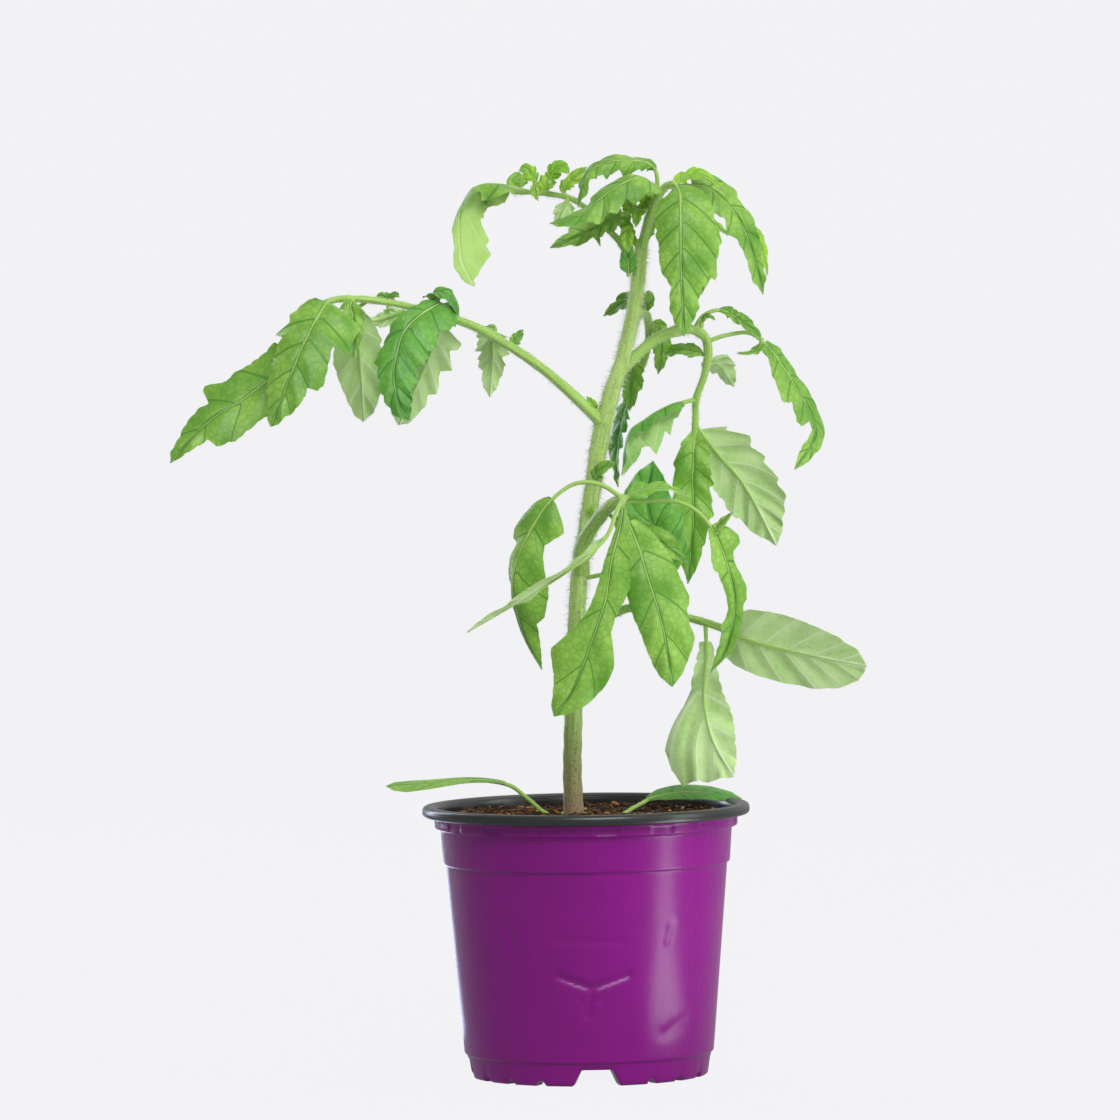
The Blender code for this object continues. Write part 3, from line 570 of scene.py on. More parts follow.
def buildSoil():
    # the top as a polar grid of soilHeight, a skirt down the wall, and a closed underside
    rings, around = 90, 260
    radius = np.concatenate([np.linspace(0.3, soil["radius"], rings), [46.4, 44.0, 38.2, 33.5, 0.3]])
    angle = np.linspace(0, 2 * np.pi, around, endpoint=False)
    x, y = radius[:, None] * np.cos(angle), radius[:, None] * np.sin(angle)
    random = np.random.default_rng(7)
    z = soilHeight(x, y)
    rough = random.normal(0, 0.22, (rings, around))
    rough = (rough + np.roll(rough, 1, 1) + np.roll(rough, -1, 1)) / 1.8
    z[:rings] += rough * np.clip(radius[:rings, None] / 8, 0, 1)
    z[rings:] = np.array([79.0, 66.0, 9.0, 7.2, 7.2])[:, None]
    points = np.concatenate([np.stack([x, y, z], axis=-1).reshape(-1, 3), [[0, 0, z[0].mean()], [0, 0, 7.2]]])
    quads = gridFaces(len(radius), around, wrapColumns=True)[:, ::-1]
    j = np.arange(around)
    after = (j + 1) % around
    last = (len(radius) - 1) * around
    top, bottom = np.full(around, len(radius) * around), np.full(around, len(radius) * around + 1)
    caps = np.concatenate([np.stack([top, j, after], axis=1),
                           np.stack([bottom, last + after, last + j], axis=1)])
    obj = meshPiece("soilBed", points, [quads, caps], [peat], smoothBelow=70)
    publish(obj, "soil", "soil")
    scatterLumps("soilCrumbs", peat, soil["crumbs"], (0.35, 1.25), 0.55, 3)
    scatterLumps("soilBark", barkChip, soil["bark"], (0.4, 1.3), 0.25, 5, lift=0.6)
    scatterLumps("soilPerlite", perliteGrain, soil["perlite"], (0.35, 0.8), 0.7, 6, lift=0.6)
    scatterFibres("soilFibres", peatFibre, soil["fibres"], (2.5, 10.0), 0.09, 8, 1.6)


buildSoil()
print("soil built")


# colours of one kind of leaf: upper side dark and light, vein, underside dark and light, light through it
leafKinds = dict(
    mature=dict(dark="#6AA236", light="#9ECB58", vein="#3F8420", rib="#B4D67C", under="#9CC85E",
                underLight="#B6DB78", underVein="#CBE3A0", through="#B0DA2C", gloss=0.4),
    # the next kind is painted shade: the mature colours made darker and bluer, for leaflets that lie in shade
    # behind or under other leaves, such as the upright leaf and the right seed leaf
    paintedShade=dict(dark="#559B38", light="#80C04E", vein="#2F7A2C", rib="#93C474", under="#8FBF62",
              underLight="#A9D07C", underVein="#BEDD98", through="#8CC634", gloss=0.4),
    pale=dict(dark="#7DB940", light="#A0D054", vein="#5F9C34", rib="#C2E096", under="#ADD480",
              underLight="#C8E6A0", underVein="#DCEFC4", through="#B4DA4E", gloss=0.46),
    young=dict(dark="#86C032", light="#B0DA44", vein="#66A22A", rib="#C8E48A", under="#A8D266",
               underLight="#C0E07C", underVein="#D4EC9E", through="#C4E440", gloss=0.48),
)
veinWidth = 0.34      # mm, half a side vein's visible width
netSpacing = 2.3      # mm between the fine veins
hairWeight = 0.12     # sheen of the short felt of hairs
passShare = 0.2       # share of light that goes through a leaf


def leafMaterial(name, kind, under):
    # A tomato leaflet, living: soft gloss above, matt and paler below. Side veins stand in the attribute
    # "veins" as (vein number, mm from midrib, mm between veins); the fine net is Voronoi cell edges.
    material, tree = newMaterial(name)
    look = leafKinds[kind]
    dark, light, vein, rib = (linear(look[part]) for part in (
        ("under", "underLight", "underVein", "underVein") if under else ("dark", "light", "vein", "rib")))
    veins = addNode(tree, "ShaderNodeAttribute", attribute_name="veins").outputs["Vector"]
    number, fromRib, spacing = addNode(tree, "ShaderNodeSeparateXYZ", {0: veins}).outputs[:3]
    place = objectPlace(tree)
    part = calc(tree, "FRACT", calc(tree, "ADD", number, 0.5))
    off = calc(tree, "ABSOLUTE", calc(tree, "SUBTRACT", part, 0.5))
    sideGap = calc(tree, "MULTIPLY", off, spacing)
    sideVein = scaled(tree, sideGap, veinWidth * 0.35, veinWidth * 1.6, 0.75, 0.0, "SMOOTHSTEP")
    midrib = scaled(tree, fromRib, 0.3, 0.75, 1.0, 0.0, "SMOOTHSTEP")
    warped = blend(tree, 0.0006, place, noise(tree, place, 4, 2.0, "Color"), "ADD")
    net = addNode(tree, "ShaderNodeTexVoronoi", {"Vector": warped, "Scale": 1 / (netSpacing * mm)},
                  feature="DISTANCE_TO_EDGE").outputs[0]
    netVein = scaled(tree, net, 0.02, 0.2, 0.26, 0.0, "SMOOTHSTEP")
    strong = calc(tree, "MAXIMUM", sideVein, midrib)
    anyVein = calc(tree, "MAXIMUM", strong, netVein)
    body = blend(tree, scaled(tree, noise(tree, place, 11, 3.0), 0.34, 0.66), dark, light)
    ribbed = scaled(tree, fromRib, 0.12, 0.34, 0.5, 0.0)
    colour = blend(tree, ribbed, blend(tree, anyVein, body, vein), rib)
    grain = calc(tree, "MULTIPLY", noise(tree, place, 0.45, 2.0), 0.22)
    height = calc(tree, "ADD", calc(tree, "MINIMUM", net, 0.4), grain)
    height = calc(tree, "ADD", height, calc(tree, "MULTIPLY", strong, 0.5 if under else -0.5))
    bump = bumped(tree, 0.5, 0.28, height)
    glow = blend(tree, anyVein, linear(look["through"]), linear(look["dark"]))
    showSurface(tree, {
        "Base Color": colour, "Roughness": look["gloss"] + (0.16 if under else 0),
        "Specular IOR Level": 0.32 if under else 0.5, "IOR": 1.42, "Sheen Weight": hairWeight,
        "Sheen Roughness": 0.5, "Sheen Tint": linear("#E9F2D8"), "Normal": bump}, (passShare, glow, bump))
    return material


leafMaterials = {kind: (leafMaterial(f"{kind}LeafUpperSide", kind, False),
                        leafMaterial(f"{kind}LeafUnderside", kind, True)) for kind in leafKinds}


def stalkMaterial(name, dark, light, spots=None, footTone=None, spotsBelow=0.0):
    # Living green stalk: fine lengthwise streaks, and on the old stem's foot purple-brown spots. The
    # attribute "stalk" holds the place round it, the length along it and the height above the soil, in mm.
    material, tree = newMaterial(name)
    place = objectPlace(tree)
    stalk = addNode(tree, "ShaderNodeAttribute", attribute_name="stalk").outputs["Vector"]
    around, along, high = addNode(tree, "ShaderNodeSeparateXYZ", {0: stalk}).outputs[:3]
    flat = addNode(tree, "ShaderNodeCombineXYZ", {0: around, 1: along, 2: 0.0}).outputs[0]
    stretch = addNode(tree, "ShaderNodeVectorMath", {0: flat, 1: (1.1, 0.06, 1.0)}, operation="MULTIPLY")
    lines = noise(tree, stretch.outputs[0], 1 / mm, 3.0)
    colour = blend(tree, scaled(tree, lines, 0.35, 0.65), linear(dark), linear(light))
    if spots:
        foot = scaled(tree, high, 1.0, spotsBelow * 0.7, 0.92, 0.0)
        limit = scaled(tree, high, 2.0, spotsBelow, 0.5, 0.72)
        above = calc(tree, "SUBTRACT", noise(tree, place, 0.8, 1.0), limit)
        colour = blend(tree, foot, colour, linear(footTone))
        colour = blend(tree, scaled(tree, above, 0.0, 0.06, 0.0, 0.5), colour, linear(spots))
    bump = bumped(tree, 0.45, 0.2, calc(tree, "ADD", noise(tree, place, 0.6, 2.0), lines))
    showSurface(tree, {
        "Base Color": colour, "Roughness": 0.5, "IOR": 1.42, "Sheen Weight": 0.3, "Sheen Roughness": 0.4,
        "Sheen Tint": linear("#F2F5E8"), "Subsurface Weight": 0.25, "Subsurface Radius": (0.7, 1.0, 0.3),
        "Subsurface Scale": 1.2 * mm, "Normal": bump})
    return material


stemSkin = stalkMaterial("stemSkinGreen", "#93B858", "#B8D280", spots="#6B4246", footTone="#8C6A5C",
                         spotsBelow=46.0)
stalkSkin = stalkMaterial("leafStalkSkin", "#86B24A", "#A9CC6B")


def hairMaterial():
    # Plant hair: clear, thin-walled cells that look white against the light
    material, tree = newMaterial("plantHairClear")
    showSurface(tree, {"Base Color": linear("#EEF3E0"), "Roughness": 0.45}, (0.5, linear("#F2F6E6"), None))
    return material


hairSkin = hairMaterial()
print("plant materials made")


hairRoots = []      # (points, directions, length) gathered from stalks and blades, grown at the end
stemFace = (0.1, -1, 0.12)      # the upper side of a tube that has no other


def frameAlong(path, faces):
    # direction of travel, upper side and side vector at each sample; the upper side is blended along faces
    run = unit(np.gradient(path[:, :3], axis=0))
    faces = np.atleast_2d(np.array(faces, float))
    share = np.linspace(0, 1, len(path))
    marks = np.linspace(0, 1, len(faces)) if len(faces) > 1 else np.array([0.0])
    face = np.stack([np.interp(share, marks, faces[:, k]) for k in range(3)], axis=1)
    up = unit(face - (face * run).sum(1, keepdims=True) * run)
    return run, up, np.cross(run, up)


def tubeSurface(path, around, faces=stemFace, ridges=0.0, wobble=0.0, seed=0):
    # rings of around points about the path's x, y, z with its radius, closed by a fan at each end; ridges and
    # wobble are shares of the radius
    run, up, side = frameAlong(path, faces)
    turn = np.linspace(0, 2 * np.pi, around, endpoint=False)
    noise = np.random.default_rng(seed)
    phases = noise.uniform(0, 6.28, 4)
    length = np.concatenate([[0], np.cumsum(np.linalg.norm(np.diff(path[:, :3], axis=0), axis=1))])
    swell = 1 + ridges * np.cos(4 * turn[None, :] + phases[0] + length[:, None] * 0.02)
    swell = swell + wobble * (np.sin(length[:, None] * 0.9 + phases[1]) * np.cos(turn[None, :] + phases[2]))
    radius = path[:, 3, None] * swell
    rings = (path[:, None, :3] + radius[..., None] * (np.cos(turn)[None, :, None] * side[:, None, :]
             + np.sin(turn)[None, :, None] * up[:, None, :]))
    count = len(path)
    points = np.concatenate([rings.reshape(-1, 3), path[:1, :3] - run[:1] * path[0, 3] * 0.4,
                             path[-1:, :3] + run[-1:] * path[-1, 3] * 0.5])
    quads = gridFaces(count, around, wrapColumns=True)[:, ::-1]
    j = np.arange(around)
    last = (count - 1) * around
    foot, head = np.full(around, count * around), np.full(around, count * around + 1)
    after = (j + 1) % around
    tri = np.concatenate([np.stack([j, after, foot], 1), np.stack([last + after, last + j, head], 1)])
    across = np.broadcast_to(turn * 3.0, (count, around))
    along = np.broadcast_to(length[:, None], (count, around))
    stalk = np.stack([across, along, along], axis=-1).reshape(-1, 3)
    stalk = np.concatenate([stalk, stalk[:1], stalk[-1:]])
    return points, quads, tri, stalk


def sampleHairs(path, perMm, length, seed, lean=0.25):
    # random places on a tube's skin, with a direction away from its axis and a little forward
    random = np.random.default_rng(seed)
    _, up, side = frameAlong(path, stemFace)
    total = np.linalg.norm(np.diff(path[:, :3], axis=0), axis=1).sum()
    count = int(total * perMm)
    place = random.uniform(0, len(path) - 1.001, count)
    i, t = place.astype(int), (place % 1)[:, None]
    turn = random.uniform(0, 2 * np.pi, count)[:, None]
    out = unit(np.cos(turn) * side[i] + np.sin(turn) * up[i])
    centre = path[i] * (1 - t) + path[i + 1] * t
    base = centre[:, :3] + out * centre[:, 3:] * 0.97
    tilt = random.normal(0, lean, (count, 3))
    hairRoots.append((base, unit(out + tilt), random.uniform(0.35, 1, count) * length))


stem = dict(
    points=((-4, 0, 66, 2.9), (-4, 0, 78, 3.6), (-4, 0, 82, 3.5), (-4, 0, 88, 3.1), (-4, 0, 105, 2.9),
            (-1.5, 0, 156, 2.75), (1, 0, 172, 2.75), (4, 0, 191, 2.75), (6, 0, 203, 2.95), (9.5, 0, 217, 2.8),
            (14, 0, 230.5, 2.4), (18, 0, 247.5, 2.4), (20, 0, 264, 2.1), (20.4, 0, 267.5, 1.3)),
    rings=220, around=32, hairsPerMm=34, hairLength=2.3)
level = 0.09        # how much a leaf that comes forward is lifted, as a share of that distance
stalkGrowth = 1.06  # stalks are shown a little thicker than their solids, to swallow the joints


def stemPlace(at):
    # the stem's point at a place between the CAD stem's own points, which start one point lower
    p = np.array([(-4, 0, 62, 2.9), (-4, 0, 81, 3.2)] + list(stem["points"][3:13]), float)
    i = int(min(max(at, 0), len(p) - 2))
    return p[i] + (p[i + 1] - p[i]) * (at - i)


def sweptPoints(points, sweep, centre):
    # y grows by sweep times the distance from the stem along x, and z falls by level times that
    p = np.array(points, float)
    shift = sweep * (p[:, 0] - centre)
    p[:, 1] += shift
    p[:, 2] -= level * shift
    return p


def buildStem():
    path, _ = smoothPath(stem["points"], stem["rings"])
    points, quads, tri, stalk = tubeSurface(path, stem["around"], ridges=0.03, wobble=0.03, seed=4)
    stalk[:, 2] = points[:, 2] - 82
    obj = meshPiece("stemSkin", points, [quads, tri], [stemSkin], attributes={"stalk": stalk})
    publish(obj, "stem", "stem")
    sampleHairs(path[60:], stem["hairsPerMm"], stem["hairLength"], 11)


buildStem()
print("stem built")


bladeRows, bladeColumns = 100, 12      # rows along the midrib, columns from midrib to edge
bladeThickness = 0.32
edgeSteps, edgeSmooth = 900, 13        # samples round a half's outline, and how many of them are averaged


def lobedOutline(leaf, number, random):
    # marks (share along, share of width) round one half: lobes of uneven length that lean towards the tip,
    # each with a tooth on its way up, under an egg-shaped limit; also gives where the lobes' tips are
    bounds = 0.03 + 0.9 * np.concatenate([[0], np.cumsum(random.uniform(0.7, 1.3, number))])
    bounds = bounds / bounds[-1] * 0.93
    marks, tips = [(0, 0.12)], []
    for start, end in zip(bounds[:-1], bounds[1:]):
        span = end - start
        cut = min(leaf["depth"] * random.uniform(0.6, 1.5) * (1.15 - 0.7 * end), 0.75)
        tooth, tip = start + span * random.uniform(0.3, 0.5), start + span * random.uniform(0.72, 0.86)
        high = egg(tip, leaf["peak"]) * random.uniform(0.88, 1.08)
        part = egg(tooth, leaf["peak"]) * (1 - 0.35 * cut)
        marks += [(tooth, part), (tooth + 0.012, part * (1 - leaf["teeth"])), (tip, high),
                  (tip + span * 0.06, high * 0.97), (end - span * 0.04, egg(end, leaf["peak"]) * (1 - cut))]
        tips.append(tip)
    return marks + [(1, 0)], tips


def egg(u, peak):
    return math.sin(math.pi * min(max(u, 0), 1) ** peak) ** 0.72


def bladePoints(path, length, leaf, seed):
    # the blade as a grid: each row leaves the midrib forwards like a side vein and ends on the edge. Across
    # the midrib each half rises by its fold and bends by its curl; the skin swells between the side veins.
    random = np.random.default_rng(seed)
    _, up, side = frameAlong(path, leaf["face"])
    turn = np.radians(leaf["turn"]) * (np.linspace(0, 1, len(path)) - 0.5)[:, None]
    up, side = up * np.cos(turn) + side * np.sin(turn), side * np.cos(turn) - up * np.sin(turn)
    startAt = leaf["bare"] * length
    blade = length - startAt
    u = np.linspace(0, 1, bladeRows)
    v = np.linspace(0, 1, bladeColumns) ** 0.9
    halves, veins = [], []
    for k, sign in ((0, 1), (1, -1)):
        marks, tips = lobedOutline(leaf, leaf["lobes"] + int(random.integers(0, 2)), random)
        if leaf["edges"]:
            marks = np.reshape(leaf["edges"][k], (-1, 2)) / 100
        marks = np.array(marks, float)
        dense = np.linspace(0, 1, edgeSteps)
        steps = np.hypot(np.diff(marks[:, 0]) * blade, np.diff(marks[:, 1]) * leaf["width"][k])
        ticks = np.concatenate([[0], np.cumsum(steps)])
        reach = dense * ticks[-1]
        s = np.interp(reach, ticks, marks[:, 0]) * blade
        t = np.interp(reach, ticks, marks[:, 1]) * leaf["width"][k]
        if leaf["edges"]:
            jag = leaf["jag"] * np.abs(np.sin(reach * 0.75 + k)) ** 0.6
            t = t + (jag - 0.5 * leaf["jag"]) * np.clip(t / 2, 0, 1)
        window = np.hanning(edgeSmooth) / np.hanning(edgeSmooth).sum()
        s, t = (np.convolve(np.pad(value, edgeSmooth // 2, "edge"), window, "valid") for value in (s, t))
        angle = np.radians(leaf["splay"] - (leaf["splay"] - 26) * np.clip(s / blade, 0, 1))
        root = np.maximum.accumulate(s - t * np.cos(angle) / np.sin(angle) + dense * 0.02)
        root = np.clip((root - root[0]) / max(root[-1] - root[0], 1e-6), 0, 1) * blade
        edgeS = np.interp(u * blade, root, s)
        edgeT = np.interp(u * blade, root, t)
        if leaf["edges"]:
            phase = leaf["lobes"] * u ** 0.92 + 0.18 * k
        else:
            tipRows = np.interp(tips, s / blade, root) / blade
            phase = np.interp(u, [0, *tipRows, 1], np.arange(len(tips) + 2))
            phase = np.convolve(np.pad(phase, 4, "reflect", reflect_type="odd"), np.full(9, 1 / 9), "valid")
        edgeT = np.maximum(edgeT, 0.22)
        s = u[:, None] * blade + (edgeS - u * blade)[:, None] * v[None, :] ** 1.2
        t = edgeT[:, None] * v[None, :]
        s = np.clip(s, 0, blade)
        place = (startAt + s) / length * (len(path) - 1)
        i = np.clip(place.astype(int), 0, len(path) - 2)
        w = (place - i)[..., None]
        centre = path[i][..., :3] * (1 - w) + path[i + 1][..., :3] * w
        upHere = unit(up[i] * (1 - w) + up[i + 1] * w)
        sideHere = unit(side[i] * (1 - w) + side[i + 1] * w)
        fold = np.interp(s / blade, [0, 0.5, 1], np.radians(leaf["fold"][k]))
        bend = np.radians(leaf["curl"][k]) * np.clip(t / max(leaf["width"][k], 1e-3), 0, 1.2) ** 1.5
        angle = fold + bend
        middle = (angle[:, 1:] + angle[:, :-1]) / 2
        step = np.diff(t, axis=1)
        across = np.concatenate([np.zeros((bladeRows, 1)), np.cumsum(step * np.cos(middle), axis=1)], axis=1)
        lift = np.concatenate([np.zeros((bladeRows, 1)), np.cumsum(step * np.sin(middle), axis=1)], axis=1)
        narrow = np.clip(edgeT / 3, 0, 1)[:, None]
        swell = leaf["quilt"] * (0.5 - 0.5 * np.cos(2 * np.pi * phase))[:, None] * np.sqrt(
            np.clip(4 * v * (1 - 0.85 * v), 0, None))[None, :] * narrow
        ripple = leaf["ripple"] * (v**2)[None, :] * narrow * (
            np.sin(2 * np.pi * 0.62 * phase + random.uniform(0, 6))
            + 0.5 * np.sin(2 * np.pi * 1.3 * phase + random.uniform(0, 6)))[:, None]
        wave = np.sin(s / blade * 5 + t * 0.25 + random.uniform(0, 6))
        slow = 0.7 * leaf["ripple"] * wave * v[None, :] * narrow
        lift = lift + swell + ripple + slow - 0.22 * np.exp(-(t / 0.7) ** 2) * narrow
        halves.append(centre + sideHere * (sign * across)[..., None] + upHere * lift[..., None])
        gap = blade / leaf["lobes"] * 0.8
        veins.append(np.stack([np.broadcast_to(phase[:, None], t.shape), t, np.full_like(t, gap)], axis=-1))
    grid = np.concatenate([halves[1][:, :0:-1], halves[0]], axis=1)
    field = np.concatenate([veins[1][:, :0:-1], veins[0]], axis=1)
    return grid, field, startAt / length


def bladeShell(grid, field):
    # upper and lower skins of one blade, half a thickness to each side of the grid, joined round the edge
    rows, columns = grid.shape[:2]
    normal = unit(np.cross(np.gradient(grid, axis=1), np.gradient(grid, axis=0)))
    v = np.abs(np.linspace(-1, 1, columns))
    thick = bladeThickness / 2 * (1 - 0.45 * v**4)
    offset = normal * thick[None, :, None]
    top, bottom = (grid + offset).reshape(-1, 3), (grid - offset).reshape(-1, 3)
    quads = gridFaces(rows, columns)
    total = rows * columns
    loop = np.concatenate([np.arange(columns), np.arange(1, rows) * columns + columns - 1,
                           (rows - 1) * columns + np.arange(columns - 2, -1, -1),
                           np.arange(rows - 2, 0, -1) * columns])
    after = np.roll(loop, -1)
    rim = np.stack([loop, loop + total, after + total, after], axis=1)
    points = np.concatenate([top, bottom])
    faces = np.concatenate([quads, quads[:, ::-1] + total, rim])
    kinds = np.concatenate([np.zeros(len(quads)), np.ones(len(quads) + len(rim))]).astype(int)
    return points, faces, kinds, np.concatenate([field.reshape(-1, 3)] * 2)


# width in mm, one value or one for each half; angles in degrees: turn from base to tip, fold of each half at
# base, middle and tip, curl of each edge, splay of the side veins at the base; bare is the stalk's share of
# the length; lobes, depth, teeth and peak shape the outline by rule; quilt, ripple, jag and rib in mm; edges
# gives each half's outline instead, as share along and share of width by turns, in percent
leafletDefaults = dict(
    turn=0, bare=0.1, fold=12, curl=-25, lobes=4, depth=0.3, teeth=0.1, peak=0.66, splay=62, quilt=0.6,
    ripple=0.5, edges=None, jag=0.5, kind="mature", rib=0.75)


def bothHalves(value):
    return (value, value) if np.isscalar(value) else value


def buildLeaflet(name, base, given, seed, slot):
    leaf = {**leafletDefaults, **given}
    if np.isscalar(leaf["width"]):
        leaf["width"] = bothHalves(leaf["width"] / 2)
    leaf["quilt"] *= min(1, max(0.2, sum(leaf["width"]) / 14))
    leaf["fold"] = [(f, f, f) if np.isscalar(f) else f for f in bothHalves(leaf["fold"])]
    leaf["curl"] = bothHalves(leaf["curl"])
    path, length = smoothPath([base, *leaf["route"]], 160)
    grid, field, bare = bladePoints(path, length, leaf, seed)
    points, faces, kinds, veins = bladeShell(grid, field)
    _, up, _ = frameAlong(path, leaf["face"])
    share = np.linspace(0, 1, len(path))
    stops = [0, max(bare, 0.02), 0.9, 1]
    radius = np.interp(share, stops, [leaf["rib"], leaf["rib"] * 0.85, 0.2, 0.12])
    sink = np.interp(share, stops, [0, 0.3, 0.16, 0.1])[:, None]
    ribPath = np.concatenate([path[:, :3] - up * sink - up * 0.1, radius[:, None]], axis=1)[::2]
    ribPoints, ribQuads, ribTri, ribStalk = tubeSurface(ribPath, 10, faces=leaf["face"])
    start = len(points)
    allPoints = np.concatenate([points, ribPoints])
    field = np.concatenate([veins, np.zeros((len(ribPoints), 3))])
    stalk = np.concatenate([np.zeros((len(points), 3)), ribStalk])
    materialIndex = np.concatenate([kinds, np.full(len(ribQuads) + len(ribTri), 2)])
    upper, under = leafMaterials[leaf["kind"]]
    obj = meshPiece(f"{name}_blade", allPoints, [np.concatenate([faces, ribQuads + start]), ribTri + start],
                    [upper, under, stalkSkin], faceMaterial=materialIndex, smoothBelow=50,
                    attributes={"veins": field, "stalk": stalk})
    edge = np.concatenate([grid[:, 0], grid[:, -1]])
    random = np.random.default_rng(seed + 500)
    pick = random.integers(0, len(edge), int(length * 2.2))
    inner = np.concatenate([grid[:, 2], grid[:, -3]])[pick]
    outward = unit(edge[pick] - inner)
    hairRoots.append((edge[pick], unit(outward + random.normal(0, 0.35, (len(pick), 3))),
                      random.uniform(0.3, 0.75, len(pick))))
    sampleHairs(ribPath, 3, 0.8, seed + 900)
    publish(obj, slot, *([name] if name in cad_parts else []))
    return obj


def stalkPoint(points, at):
    # the stalk's point at a place between its points
    p = np.array(points, float)
    p = np.vstack([2 * p[0] - p[1], p, 2 * p[-1] - p[-2]])
    i = int(min(max(at, 0), len(p) - 4))
    t = at - i
    return catmullRom(*p[i:i + 4], t)


def buildStalk(name, points, leaf):
    # a tube through the leaf stalk's points, wider where it leaves the stem and where leaflets leave it
    path, _ = smoothPath(points, max(40, int(24 * len(points))))
    share = np.linspace(0, len(points) - 1, len(path))
    joints = np.array([blade["at"] for blade in leaf["leaflets"].values() if "at" in blade])
    swell = 1 + 0.16 * np.exp(-((share[:, None] - joints[None, :]) / 0.22) ** 2).max(axis=1)
    path[:, 3] *= swell * stalkGrowth * (1 + 0.25 * np.exp(-share / 0.5))
    pts, quads, tri, stalk = tubeSurface(path, 20, ridges=0.05, wobble=0.02, seed=len(name))
    obj = meshPiece(f"{name}_skin", pts, [quads, tri], [stalkSkin], attributes={"stalk": stalk})
    publish(obj, "stalk", name)
    sampleHairs(path, 15, 1.3, len(name) * 7)


# the kind with painted shade goes to the dark leaf slot
kindSlots = dict(mature="leaf", paintedShade="leaf_dark", pale="leaf", young="leaf_young")
